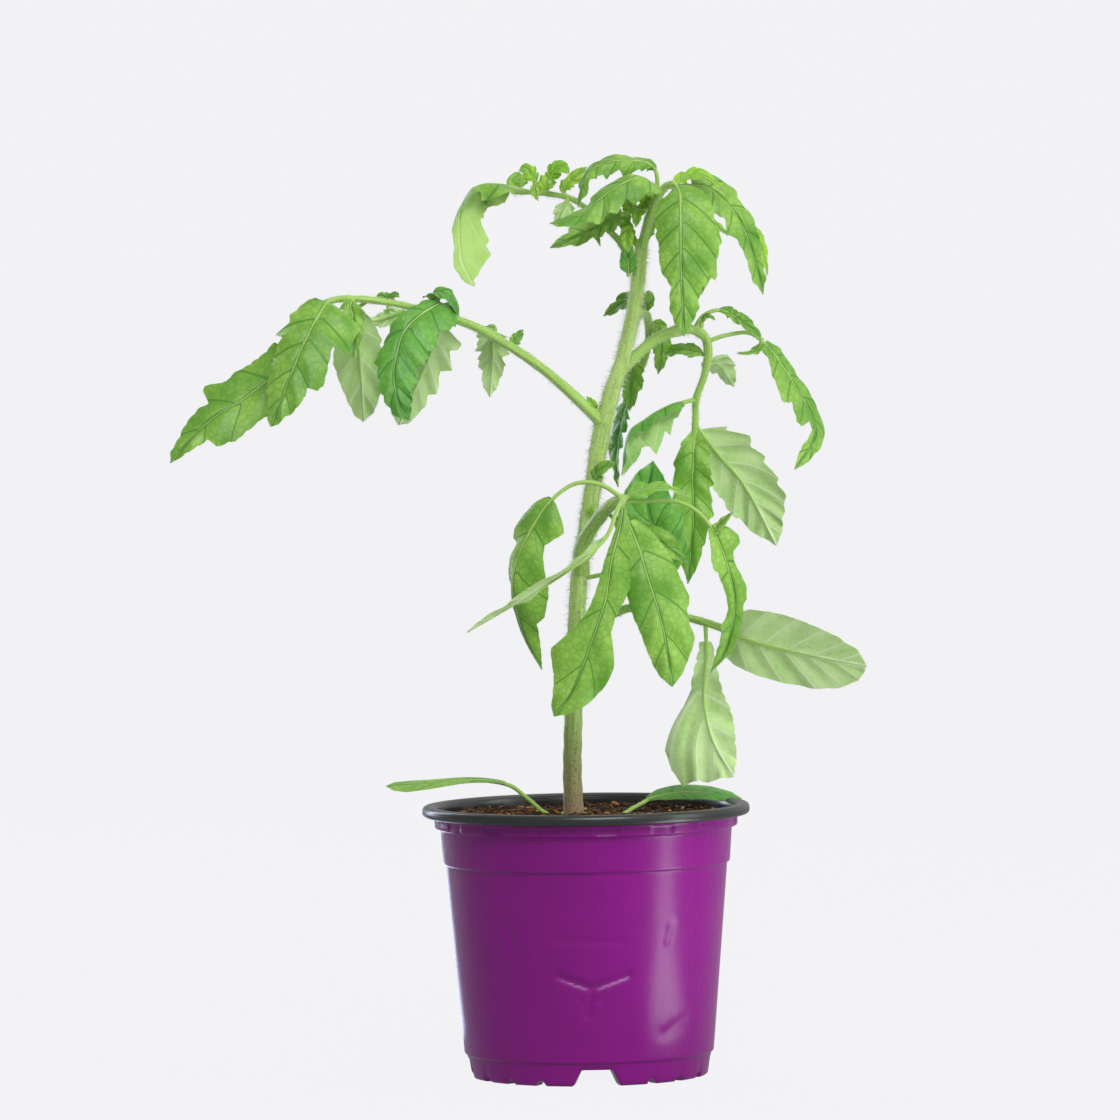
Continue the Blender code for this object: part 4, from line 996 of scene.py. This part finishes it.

# Each leaf: its place on the stem, its stalk's points with their radius, and its leaflets. sweep is how far
# the leaf goes back (or forward, below 0) for each mm to the right. A leaflet leaves the stalk at a place
# between its points, or starts at foot; a placed one has its points where they are, without the sweep. face
# is where its upper side looks, at one or more places from base to tip.
# leaflets of the darker, bluer kind have painted shade, as they lie behind or under other leaves
leaves = dict(
    left_leaf=dict(
        at=7.4, sweep=0.3, stalk=((-1, -3, 216.8, 1.6), (-5.5, -3, 220.9, 1.5), (-11, -4, 225.6, 1.4),
        (-17.5, -4, 230.4, 1.4), (-23, -4, 233.9, 1.3), (-32, -5, 239, 1.3), (-40, -6, 242, 1.2),
        (-48, -8, 243.9, 1.1), (-57, -10, 246.5, 1.0), (-69, -12, 248, 0.9), (-78, -14, 247.5, 0.9),
        (-85, -14, 243.5, 0.8), (-89, -14, 239, 0.8)),
        leaflets=dict(
            inner_back=dict(
                at=5.4, route=((-28, 2, 237), (-28, 5, 229), (-29, 6, 217)), width=(6.0, 6.0),
                face=(0, 1, 0.2), kind="pale", fold=18, lobes=4, depth=0.4, teeth=0.15),
            middle_front=dict(
                at=7.6, placed=True, route=((-43.5, -28, 248.4), (-50, -34, 245), (-55.4, -38, 239.5),
                (-58.2, -42, 230.5), (-58.5, -44, 223), (-56.6, -46, 216), (-53.8, -46, 212)),
                width=(6.6, 9.4), face=((0, -0.8, 0.6), (-0.2, -1, 0.3), (0, -1, 0.1)), kind="paintedShade", jag=1.0,
                fold=-6, lobes=5, curl=(-20, -15), bare=0.1, edges=((0, 30, 10, 50, 25, 70, 45, 75, 55, 90,
                60, 112, 64, 80, 76, 72, 88, 50, 96, 26, 100, 0), (0, 50, 5, 95, 15, 100, 22, 80, 28, 105,
                40, 120, 47, 98, 52, 106, 60, 95, 63, 70, 74, 78, 80, 55, 90, 40, 96, 22, 100, 0))),
            middle_back=dict(
                at=7.1, route=((-45, -1, 238), (-49, 1, 228), (-58, 2, 208)), width=(9.5, 8.5),
                face=(-0.3, 1, 0.2), kind="pale", fold=6, lobes=5, edges=((0, 30, 5, 70, 14, 100, 20, 90,
                23, 62, 30, 80, 37, 95, 41, 62, 52, 72, 60, 78, 64, 55, 75, 60, 88, 42, 96, 24, 100, 0),
                (0, 30, 10, 60, 25, 80, 40, 90, 60, 85, 80, 62, 93, 40, 100, 0))),
            middle_curl=dict(
                at=7.9, route=((-46, -12, 250), (-41, -15, 249), (-38, -16, 243)), width=7,
                face=(0.2, -0.5, 1), kind="paintedShade", lobes=3, depth=0.3),
            outer_front=dict(
                at=10.9, route=((-80, -19, 246), (-87, -25, 233), (-97, -28, 208)), width=(11.1, 14.4),
                face=(-0.2, -1, 0.3), fold=-8, lobes=5, curl=(-22, -30), edges=((0, 40, 8, 65, 14, 70, 17, 86,
                26, 71, 35, 108, 38, 69, 48, 75, 55, 70, 59, 73, 69, 63, 87, 32, 97, 13, 100, 0), (0, 74,
                2, 88, 9, 96, 19, 92, 31, 100, 32, 60, 37.5, 64, 51, 71, 61, 74, 66, 67, 66.5, 43, 73, 48,
                81, 41, 90.6, 23, 97.4, 13, 100, 0))),
            outer_small=dict(
                at=10.2, route=((-72, -17, 246), (-71, -20, 240), (-71.5, -21, 229)), width=8,
                face=(0.2, -1, 0.2), lobes=3, depth=0.3),
            outer_back=dict(
                at=9.8, route=((-71, -6, 243), (-70, -1, 231), (-69, 2, 209)), width=17, face=(0, 1, 0.2),
                kind="pale", fold=8, lobes=4, jag=0.3, edges=((0, 30, 20, 70, 35, 90, 38, 80, 50, 100, 62, 98,
                80, 66, 93, 40, 100, 0), (0, 30, 30, 85, 50, 100, 66, 80, 85, 50, 95, 30, 100, 0))),
            inner_chip=dict(
                foot=(-21.8, -4, 233.5), placed=True, route=((-21, -4, 235.5), (-19.5, -3.5, 237.5),
                (-18, -3, 239.4)), width=4.4, face=(0.5, -0.8, 0.2), bare=0.1, lobes=2),
            outer_bud=dict(
                foot=(-60.6, -12, 246.5), placed=True, route=((-61, -12.5, 248.5), (-62, -13, 250.4),
                (-64.6, -13, 250.8)), width=4.6, face=(0.1, -1, 0.3), bare=0.3, lobes=2, depth=0.5),
            outer_wing=dict(
                foot=(-60.8, -12, 247.6), placed=True, route=((-60.6, -12.5, 249.8), (-58.6, -13, 251.2),
                (-57.2, -13, 250.4)), width=3.6, face=(0.1, -1, 0.3), bare=0.2, lobes=2, depth=0.4),
            outer_low=dict(
                foot=(-55.7, -12, 246.2), placed=True, route=((-59, -12, 244.6), (-63, -11, 243.2),
                (-67.9, -11, 242.6)), width=6.5, face=(0.1, 1, -0.2), kind="pale", bare=0.05, lobes=3),
            tip=dict(
                at=12, route=((-95, -13.5, 226), (-105, -12, 217), (-117, -11, 209), (-129, -10, 196)),
                width=(11.4, 10.6), face=(-0.25, -1, 0.35), fold=-4, lobes=4, bare=0.2, curl=(-12, -15),
                edges=((0, 54, 9, 60, 20, 74, 34.5, 84, 43, 73, 55, 100, 57.5, 90, 59, 47, 65, 53, 78, 39,
                95, 20, 100, 0), (0, 30, 13, 53, 27, 80, 35, 93, 38, 84, 50, 92, 60, 100, 74, 74, 74.5, 39,
                87, 25, 100, 0))),
        )),
    right_leaf=dict(
        at=8.6, sweep=0.45, stalk=((23, 1, 235, 1.7), (30, 3, 238.5, 1.7), (36, 5, 239.5, 1.5),
        (40.5, 6, 237, 1.3), (41.5, 7, 231.5, 1.2), (40, 8, 224, 1.1), (37.5, 9, 217, 1.0), (37, 9, 208, 0.9),
        (36, 10, 200, 0.8)),
        leaflets=dict(
            tip=dict(
                at=8, route=((36, 9.5, 192), (36, 9, 177), (34, 12, 157)), width=14, face=(0, -1, 0.2),
                bare=0.02, lobes=4, depth=0.2),
            upper_left=dict(
                at=5, route=((37, 9.5, 232), (33, 11, 232.5), (27, 13, 231)), width=8, face=(0.1, -0.6, 0.8),
                kind="pale", lobes=3, depth=0.15),
            upper_right=dict(
                at=5.4, route=((43, 11, 229), (46, 14, 227), (50, 18, 221)), width=10, face=(0.2, 1, 0.5),
                kind="pale", lobes=3, depth=0.3),
            lower_left=dict(
                at=7, route=((29, 7, 215), (21, 7, 210.5), (15, 7, 205), (13, 6, 192)), width=(11.5, 5.0),
                face=(-0.3, 0.3, 0.8), kind="paintedShade", bare=0.15, fold=(-68, -45), curl=(-12, -20), lobes=4,
                edges=((0, 20, 8, 40, 14, 36, 20, 75, 24, 85, 28, 62, 40, 85, 47, 105, 52, 86, 55, 64, 65, 74,
                70, 50, 85, 40, 100, 0), (0, 40, 10, 100, 30, 90, 33, 70, 50, 100, 53, 70, 70, 70, 85, 50,
                100, 0))),
            lower_right=dict(
                at=7.9, route=((44, 8, 200), (53, 6, 189), (63, 5, 170)), width=(12.5, 9.8),
                face=(0.3, 1, 0.3), kind="pale", bare=0.05, lobes=6, fold=6, edges=((0, 15, 4, 50, 9, 64,
                11, 56, 24, 102, 29, 93, 32, 78, 42, 92, 45, 78, 56, 96, 59, 82, 69, 92, 72, 75, 80, 60,
                83, 50, 92, 30, 100, 0), (0, 10, 8, 25, 20, 60, 26, 78, 29, 70, 40, 95, 49, 100, 52, 92,
                62, 96, 69, 84, 72, 76, 82, 62, 88, 45, 100, 0))),
            high_narrow=dict(
                at=3.2, route=((40, 3, 244), (46, 2, 246), (54, 0, 241.5), (59, -2, 237)), width=6,
                face=(0.2, -0.8, 0.6), bare=0.4, lobes=3),
            outer_curl=dict(
                at=4.3, route=((48, 5, 238), (56, 3, 238.5), (63, 1, 232), (69.5, -1, 222), (75, -3, 212),
                (75.5, -4, 205), (69, -5, 195)), width=(6.8, 4.4), face=(0.4, -0.8, 0.3), bare=0.3,
                fold=(12, -10), curl=(-20, -30), lobes=6, edges=((0, 30, 10, 55, 20, 80, 33, 95, 40, 105,
                43, 85, 41, 70, 50, 90, 58, 100, 63, 70, 61, 30, 68, 22, 76, 32, 85, 35, 94, 20, 100, 0),
                (0, 40, 8, 85, 20, 75, 30, 100, 45, 90, 60, 95, 75, 75, 90, 50, 100, 0))),
            outer_chip=dict(
                foot=(58.5, 3, 235.5), placed=True, route=((57.6, 2.4, 232.4), (54.5, 2, 230.8),
                (50.4, 2, 230.9)), width=3.4, face=(0.2, -0.6, 0.8), bare=0.1, lobes=2, depth=0.2),
            joint_chip=dict(
                foot=(39.2, 5, 239.2), placed=True, route=((39.6, 4, 241.6), (41.3, 3, 243),
                (43.6, 3, 241.6)), width=3.0, face=(0.2, -0.6, 0.8), bare=0.3, lobes=2, depth=0.2),
        )),
    front_leaf=dict(
        at=4.35, sweep=0, stalk=((0, -8, 170, 2.3), (4, -17, 177.5, 2.0), (9, -26, 183.5, 1.6),
        (13, -31, 186, 1.2)),
        leaflets=dict(
            left_droop=dict(
                at=4, route=((6, -32, 190.5), (-2, -32, 191), (-9.5, -33, 186), (-16, -34, 177),
                (-21.5, -34, 165), (-22, -33, 155), (-18.5, -31, 142), (-13.5, -30, 132)), width=(7.5, 11.5),
                face=((0, -0.6, 0.8), (-0.35, -0.9, 0.1), (-0.4, -0.9, 0)), bare=0.3, fold=((-10, -55, -60),
                (-10, -8, -8)), curl=(-10, -22), lobes=4, jag=0.25, edges=((0, 20, 6, 60, 15, 85, 24, 102,
                28, 90, 30, 42, 36, 60, 50, 70, 52, 50, 65, 60, 67, 40, 85, 30, 100, 0), (0, 10, 5, 55,
                12, 85, 16, 78, 24, 55, 29, 63, 38, 85, 48, 100, 55, 97, 62, 92, 73, 70, 75.5, 45, 80, 42,
                90, 26, 100, 0))),
            narrow_right=dict(
                at=3.9, route=((19, -29, 188.5), (27, -28, 189), (34, -26, 186)), width=7,
                face=(0.1, -0.5, 0.9), kind="pale", lobes=3, depth=0.08),
            right_droop=dict(
                at=3.4, route=((21, -26, 185), (31, -27, 184.5), (39, -28, 179), (44.5, -29, 168),
                (48, -29, 153), (45.5, -28, 139), (40, -27, 130)), width=(5.8, 7.2), face=((0.1, -0.5, 0.8),
                (0.3, -1, 0.3), (0.3, -1, 0.1)), bare=0.4, fold=(10, 8), curl=(10, -20), lobes=3, jag=0.25,
                edges=((0, 20, 10, 60, 22, 100, 27, 95, 30, 70, 42, 55, 56, 40, 62, 50, 68, 72, 72, 50,
                85, 44, 100, 0), (0, 30, 5, 70, 12, 102, 17, 90, 20, 45, 26, 33, 35, 45, 42, 57, 50, 50,
                52, 38, 60, 40, 78, 28, 100, 0))),
            right_spike=dict(
                foot=(40.5, -28.5, 172.5), placed=True, route=((42, -28.5, 175), (44.6, -29, 178),
                (47.8, -29, 181)), width=3.6, face=(-0.3, -0.7, 0.6), bare=0.1, lobes=2, depth=0.2),
            long_left=dict(
                at=4, placed=True, route=((12.2, -34.5, 178), (9.3, -36, 167.5), (6.9, -37, 154),
                (2.6, -38, 141.5), (-3.6, -38, 126), (-9.8, -38, 117.5)), width=(12.6, 9.8),
                face=(0, -1, 0.15), bare=0.04, fold=-6, curl=(-15, -25), lobes=4, quilt=0.6, jag=0.2,
                edges=((0, 8, 18, 12, 30, 20, 39, 27, 50, 36, 60, 52, 64, 85, 68, 100, 74, 88, 83, 60, 91, 42,
                97, 22, 100, 0), (0, 10, 12, 35, 25, 60, 36, 72, 42, 60, 48, 46, 56, 50, 62, 75, 70, 100,
                78, 95, 88, 62, 95, 32, 100, 0))),
            long_right=dict(
                at=3.6, placed=True, route=((15.7, -30, 175.8), (18.2, -31, 168.8), (21.2, -33, 158.4),
                (24.5, -34, 147.4), (26.5, -35, 136.3), (27.7, -36, 126.2)), width=(8.3, 12),
                face=(0.1, -1, 0.2), bare=0.12, fold=-8, curl=(-15, -25), lobes=4, quilt=0.7, jag=0.2,
                edges=((0, 25, 15, 60, 25, 85, 38, 95, 50, 100, 57, 98, 68, 86, 76, 78, 86, 60, 94, 38,
                100, 0), (0, 20, 10, 50, 25, 78, 40, 90, 52, 100, 56, 93, 58, 80, 66, 76, 73, 86, 76, 80,
                83, 60, 93, 32, 100, 0))),
            short_right=dict(
                at=2.7, route=((16, -22, 174), (24, -24, 172), (33, -25, 165)), width=11, face=(0.2, -1, 0.5),
                lobes=2, depth=0.1),
            edge_left=dict(
                at=4, route=((10.5, -40, 182), (6, -43.5, 173), (-8, -46, 162), (-37, -48, 145)), width=8.5,
                face=(-0.4, 0.4, 0.85), kind="pale", bare=0.25, lobes=3, depth=0.1, fold=10),
        )),
    low_leaf=dict(
        at=3.75, sweep=-0.25, stalk=((8, 2.5, 147, 1.3), (16, 3, 149.5, 1.2), (26, 3, 148, 1.1),
        (36, 4, 145, 1.0), (46, 2, 142, 0.9)),
        leaflets=dict(
            tip=dict(
                at=4, route=((53, -1, 138.4), (65, -3, 135), (79, -6, 131.6), (89.5, -8, 129.6)),
                width=(11, 11.2), face=(0.05, 1, 0.25), kind="pale", bare=0.16, lobes=6, fold=6,
                curl=(-15, -15), ripple=0.25, quilt=0.6, jag=0.12, edges=((0, 20, 5, 55, 15, 85, 30, 100,
                50, 98, 65, 87, 82, 66, 93, 42, 100, 0), (0, 40, 4, 70, 12, 88, 30, 97, 45, 100, 66, 95,
                82, 80, 95, 45, 100, 0))),
            hanging=dict(
                at=4.3, route=((39, 0, 133), (38, -2, 120), (40.5, -4, 107), (47, -5, 95)), width=(8.3, 17),
                splay=80, face=(-0.1, 1, 0.1), kind="pale", bare=0.12, lobes=5, fold=(0, 6), curl=(-10, 15),
                ripple=0.8, quilt=0.5, jag=0.7, edges=((0, 20, 15, 40, 35, 70, 50, 95, 62, 100, 75, 85,
                88, 55, 100, 0), (0, 10, 20, 20, 36, 22, 42, 50, 48, 80, 55, 95, 57, 85, 64, 100, 66, 90,
                74, 100, 77, 90, 82, 100, 86, 90, 87, 70, 90, 55, 94, 42, 96, 20, 100, 0))),
        )),
    back_leaf=dict(
        at=9.1, sweep=0, stalk=((18, 14, 242, 1.3), (22, 26, 243, 1.1), (22, 36, 232, 1.0),
        (17, 41, 218, 0.8)),
        leaflets=dict(
            upper_left=dict(
                at=2.1, route=((21, 29, 248), (16, 30, 248), (8, 30, 243)), width=9, face=(0, -0.7, 0.7),
                lobes=3),
            right=dict(
                at=2.2, route=((25.5, 31, 239), (26.5, 32, 233), (25.5, 32, 224)), width=8,
                face=(0.3, -1, 0.2), kind="pale", lobes=3),
            left=dict(
                at=3.2, route=((17, 36, 229), (17, 36, 222), (16, 35, 212)), width=10, face=(-0.3, -1, 0.2),
                kind="pale", lobes=3, depth=0.4),
            tip=dict(
                at=3.9, route=((14, 43, 210), (12, 44, 199), (12, 44, 187)), width=12, face=(-1, -0.4, 0.1),
                kind="paintedShade", lobes=4),
        )),
    high_left_leaf=dict(
        at=10.5, sweep=-0.3, stalk=((14, -2, 266, 1.0), (10, -3, 271, 1.0), (6, -4, 275.5, 0.9),
        (-1, -6, 281, 0.8), (-7, -7, 283, 0.8), (-14, -8, 284, 0.7), (-21, -9, 284.5, 0.7)),
        leaflets=dict(
            tip=dict(
                at=6, placed=True, route=((-25.5, -20, 286), (-33, -22, 284.7), (-37, -24, 278.4),
                (-37.7, -25, 269.8), (-36.9, -26, 261.3), (-33.2, -27, 253.6)), width=(12.3, 7.5),
                face=((0, -0.3, 1), (-0.5, -0.3, 0.8), (-1, -0.25, 0.2), (-1, -0.2, 0)), bare=0.24,
                fold=((-75, -70, -50), (-72, 25, 78)), curl=(-8, -6), lobes=4, edges=((0, 10, 8, 45, 18, 64,
                30, 74, 36, 68, 50, 80, 55, 70, 68, 95, 72, 84, 80, 102, 86, 80, 92, 50, 100, 0), (0, 30,
                8, 75, 20, 100, 35, 80, 48, 50, 55, 62, 62, 75, 68, 50, 74, 40, 84, 62, 92, 50, 100, 0))),
            outer_top=dict(
                at=6.5, route=((-20, -5, 287.5), (-17, -3.5, 288.5), (-14, -3, 291)), width=8,
                face=(-0.4, -0.8, 0.6), kind="pale", lobes=3),
            middle_top=dict(
                at=5.4, route=((-10, -4.5, 286), (-9, -3, 288), (-7, -2, 291)), width=7, face=(-0.3, -1, 0.4),
                kind="young", lobes=3),
            inner_top=dict(
                at=4.6, route=((-4, -5, 285), (-1, -4, 288), (3, -3, 291.5)), width=6, face=(-0.4, -0.8, 0.4),
                kind="young", lobes=3),
            inner_low=dict(
                at=4.3, route=((-4, -8.5, 279), (-5, -10, 277), (-7, -10.5, 273)), width=8,
                face=(0.4, 1, 0.2), kind="pale", lobes=3),
            middle_bit=dict(
                foot=(-12.5, -9, 286), placed=True, route=((-14.5, -9, 288.5), (-16, -9.5, 290.5),
                (-18.6, -9.5, 290)), width=5.5, face=(0.1, -1, 0.3), kind="young", lobes=2),
            inner_bit=dict(
                foot=(-9, -8, 286), placed=True, route=((-7.5, -9, 289.5), (-5, -9, 291), (-2.4, -9, 289)),
                width=6, face=(0.1, -1, 0.4), kind="young", lobes=3),
            hanging_bit=dict(
                foot=(-13.5, -9, 286.4), placed=True, route=((-13.8, -9.4, 284), (-13.4, -9.4, 282.4),
                (-12.6, -9.2, 280.4)), width=2.6, face=(0.1, -1, 0), kind="young", bare=0.05, lobes=2,
                depth=0.1),
        )),
    top_leaf=dict(
        at=10.95, sweep=0.15, stalk=((22.5, -3, 273, 1.4), (25, -7, 280, 1.2), (28, -11, 284.5, 1.0),
        (31, -14, 285.5, 0.8)),
        leaflets=dict(
            tip=dict(
                at=4, route=((32.5, -19.5, 282), (32.5, -24, 273), (32.5, -27, 256), (33, -30, 237)),
                width=(8.9, 12.7), face=(0, -1, 0.3), bare=0.03, lobes=6, fold=-10, curl=(-30, -30),
                edges=((0, 15, 4, 60, 14, 95, 17, 88, 25, 100, 33, 90, 36, 95, 45, 78, 47, 84, 58, 76, 61, 66,
                69, 36, 72, 43, 83, 46, 93, 26, 100, 0), (0, 10, 5, 50, 10, 72, 20, 92, 22, 87, 33, 100,
                36, 94, 48, 98, 51, 92, 60, 98, 64.5, 90, 61, 66, 66, 72, 70, 52, 78, 40, 82, 42, 90, 26,
                100, 0))),
            left_long=dict(
                at=2.5, placed=True, route=((19.9, -19, 287.6), (10, -23, 283), (2.3, -26, 276.5),
                (-3.5, -28, 274), (-9, -29, 273.2)), width=(6, 8), face=(-0.3, -0.7, 0.7), lobes=5,
                fold=(-14, -22), bare=0.08, edges=((0, 30, 10, 70, 25, 100, 40, 95, 43, 80, 58, 90, 62, 60,
                80, 50, 93, 34, 100, 0), (0, 40, 10, 90, 16, 100, 20, 70, 30, 95, 38, 105, 42, 66, 50, 90,
                58, 100, 62, 66, 70, 75, 76, 42, 90, 34, 100, 0))),
            left_top=dict(
                at=2.2, placed=True, route=((24, -8, 291), (14, -9, 293), (5.4, -10, 290.8), (1.8, -12, 286),
                (0.1, -13, 278)), width=(6, 5.5), face=((-0.2, -0.4, 0.9), (-0.6, -0.6, 0.5),
                (-0.9, -0.4, 0.1)), lobes=4, bare=0.2, fold=(-20, -20)),
            left_low=dict(
                at=1.6, route=((15, -6, 276), (5, -7, 271), (-9, -7, 265)), width=9, face=(0, -1, 0.5),
                bare=0.3, lobes=4),
            left_thin=dict(
                foot=(6, -8, 274), placed=True, route=((5.8, -9, 272), (6.1, -10, 269), (7, -10, 265.7)),
                width=2.2, face=(0.4, -1, 0), bare=0.1, lobes=2, depth=0.1),
            right_stub=dict(
                foot=(39, -1, 276), placed=True, route=((42.9, -2, 273.3), (45.4, -2, 270.6),
                (48.2, -2, 268.6)), width=3.6, face=(0.4, -0.6, 0.7), bare=0.2, lobes=2, depth=0.1),
            right_back=dict(
                at=2.2, route=((33, -9, 276.5), (41, -11, 268), (39, -12, 250)), width=11,
                face=(0.5, -1, 0.2), kind="pale", lobes=4),
            right_top=dict(
                at=3.2, route=((35, -10, 287.5), (40, -9, 288), (47, -10, 283.5)), width=7,
                face=(0.2, -0.5, 0.9), kind="young", lobes=3),
            right_droop=dict(
                at=2.9, route=((36, -5, 285), (43, -2, 283.5), (51, -3, 275), (56, -4, 263), (59, -5, 250)),
                width=(6.2, 5.4), face=(0.4, -0.8, 0.4), bare=0.2, lobes=5, edges=((0, 30, 10, 70, 20, 100,
                22, 85, 35, 100, 38, 80, 50, 105, 53, 86, 59, 60, 72, 60, 90, 42, 100, 0), (0, 40, 12, 95,
                30, 100, 33, 85, 50, 92, 53, 70, 70, 60, 72, 46, 90, 30, 100, 0))),
            right_far=dict(
                at=2.0, route=((36, 0, 280), (50, 5, 277), (58, 8, 267), (61, 10, 256)), width=8,
                face=(0.6, -0.6, 0.4), kind="young", bare=0.35, lobes=4),
        )),
)

# leaflets that grow from the stem itself: the upright leaf, the seed leaves, small ones where leaves leave
# the stem, and the youngest ones round the growing point
# the upright leaf, the right seed leaf and the dark crown leaflet have the darker, bluer kind: painted shade
stemLeaves = dict(
    upright_leaf=dict(
        at=4.2, route=((10, -2, 161), (21, -6.5, 160.5), (26, -9, 165), (23, -9, 175), (21, -8, 184),
        (23, -7, 197)), width=20, face=(0, -1, 0.1), kind="paintedShade", bare=0.42, lobes=4, depth=0.05, teeth=0.02,
        peak=0.8),
    seed_leaf_left=dict(
        at=1.5, route=((-12, -0.5, 84), (-18.2, -1.5, 89), (-25, -1.5, 94), (-37, -1, 95.4),
        (-50, -0.6, 94.4), (-64, 0, 93.6)), width=(5, 5), face=(0, -0.3, 1), bare=0.4, lobes=3, quilt=0.1,
        ripple=0.0, fold=-4, curl=-8, jag=0.0, edges=((0, 25, 30, 50, 60, 80, 82, 100, 93, 75, 100, 0),
        (0, 25, 30, 50, 60, 80, 82, 100, 93, 75, 100, 0))),
    seed_leaf_right=dict(
        at=1.5, route=((8.5, 1.5, 82.6), (16, 4, 85.8), (22, 8, 88.4), (31, 12, 89.6), (41, 17, 88.8),
        (50.5, 21, 86.4)), width=(3.6, 5.0), face=(0.1, -0.6, 0.9), bare=0.44, lobes=3, quilt=0.1, ripple=0.0,
        fold=-6, curl=-12, jag=0.0, kind="paintedShade", edges=((0, 20, 15, 70, 40, 100, 70, 95, 92, 60, 100, 0),
        (0, 20, 15, 70, 40, 100, 70, 95, 92, 60, 100, 0))),
    spur_leaf=dict(
        foot=(3.8, -3, 190), route=((5.2, -4, 193), (7.5, -5, 195.2), (10.8, -5.5, 196.6)), width=5.6,
        face=(-0.4, -0.8, 0.4), lobes=2, depth=0.15),
    axil_bud=dict(
        foot=(5.2, -3, 213), route=((4.2, -4, 214.8), (3.1, -4.4, 216.4), (2, -4.4, 217.8)), width=3,
        face=(-0.2, -1, 0.2), kind="young", lobes=2, depth=0.15),
    stem_curl=dict(
        foot=(4.9, -3, 179), route=((3.4, -4.6, 180), (2.9, -5, 182), (4.6, -4.6, 183.6)), width=2.4,
        face=(-0.4, -1, 0), kind="young", lobes=2, depth=0.1),
    crown_one=dict(
        foot=(17, -3, 272), route=((14.5, -5, 275), (12, -6.5, 274), (10.5, -7.5, 269.5)), width=6,
        face=(-0.4, -1, 0.3), kind="young", lobes=3, depth=0.4),
    crown_two=dict(
        foot=(18, -3, 270), route=((16.4, -6, 271), (15.6, -7.5, 268), (16, -8, 263.5)), width=5.5,
        face=(-0.1, -1, 0.2), kind="young", lobes=3, depth=0.4),
    crown_three=dict(
        foot=(18, -2, 276), route=((16, -4, 279.5), (14.4, -5, 281.5), (12.4, -6, 279.8)), width=6,
        face=(-0.4, -0.8, 0.6), kind="young", lobes=3, depth=0.3),
    crown_four=dict(
        foot=(19.5, -3, 274), route=((19.5, -6, 277), (19, -7.5, 276), (18.4, -8.4, 271.6)), width=5,
        face=(0, -1, 0.3), kind="young", lobes=3, depth=0.3),
    crown_five=dict(
        foot=(21, -2, 276), route=((22, -4, 280.5), (23, -5, 282.5), (24.6, -6, 280.6)), width=5,
        face=(0.2, -0.8, 0.5), kind="young", lobes=3, depth=0.3),
    crown_dark=dict(
        foot=(16, -2.4, 256), route=((15.9, -5, 259.5), (15.9, -6, 263), (16.6, -5.5, 267)), width=6,
        face=(0, -1, 0.1), kind="paintedShade", lobes=3, depth=0.15),
    young_leaf_left=dict(
        at=11, route=((17, -1, 268.5), (14, -2, 273), (13, -3, 279)), width=5, face=(0.8, -0.6, 0.1),
        kind="young", lobes=3),
    young_leaf_right=dict(
        at=11, route=((22, 2.5, 268.5), (23.5, 4, 273), (24, 6, 280)), width=5, face=(-0.6, -0.8, 0.1),
        kind="young", lobes=3),
)


def buildLeaves():
    seed = 20
    for name, given in stemLeaves.items():
        seed += 1
        start = given["foot"] if "foot" in given else stemPlace(given["at"])[:3]
        buildLeaflet(name, tuple(start), given, seed, kindSlots[given.get("kind", "mature")])
    for name, leaf in leaves.items():
        base = stemPlace(leaf["at"])
        swept = [tuple(p) for p in sweptPoints(leaf["stalk"], leaf["sweep"], base[0])]
        points = [(*base[:3], leaf["stalk"][0][3])] + swept
        buildStalk(f"{name}_stalk", points, leaf)
        for part, given in leaf["leaflets"].items():
            seed += 1
            route = given["route"]
            if not given.get("placed"):
                route = [tuple(p) for p in sweptPoints(route, leaf["sweep"], base[0])]
            start = given["foot"] if "foot" in given else stalkPoint(points, given["at"])[:3]
            buildLeaflet(f"{name}_{part}", tuple(start), {**given, "route": route}, seed,
                         kindSlots[given.get("kind", "mature")])


buildLeaves()
print("leaves built")


def buildHairs():
    # each hair is a slender pyramid: three sides and a base, leaning a little from the skin
    base = np.concatenate([h[0] for h in hairRoots])
    out = np.concatenate([h[1] for h in hairRoots])
    length = np.concatenate([h[2] for h in hairRoots])
    first = unit(np.cross(out, np.array([0.31, 0.52, 0.79])))
    second = np.cross(out, first)
    width = (0.045 + 0.014 * length)[:, None, None]
    turn = np.array([0, 2 * np.pi / 3, 4 * np.pi / 3])
    ring = base[:, None] + width * (np.cos(turn)[None, :, None] * first[:, None]
                                    + np.sin(turn)[None, :, None] * second[:, None])
    sag = np.array([0, 0, -0.12]) * length[:, None] ** 2
    points = np.concatenate([ring, (base + out * length[:, None] + sag)[:, None]], axis=1).reshape(-1, 3)
    start = np.arange(len(base))[:, None] * 4
    faces = np.concatenate([start + np.array(f) for f in ((0, 1, 3), (1, 2, 3), (2, 0, 3), (2, 1, 0))])
    obj = meshPiece("plantHairs", points, [faces], [hairSkin], smoothBelow=0)
    publish(obj, "stem")
    print("hairs:", len(base))


buildHairs()
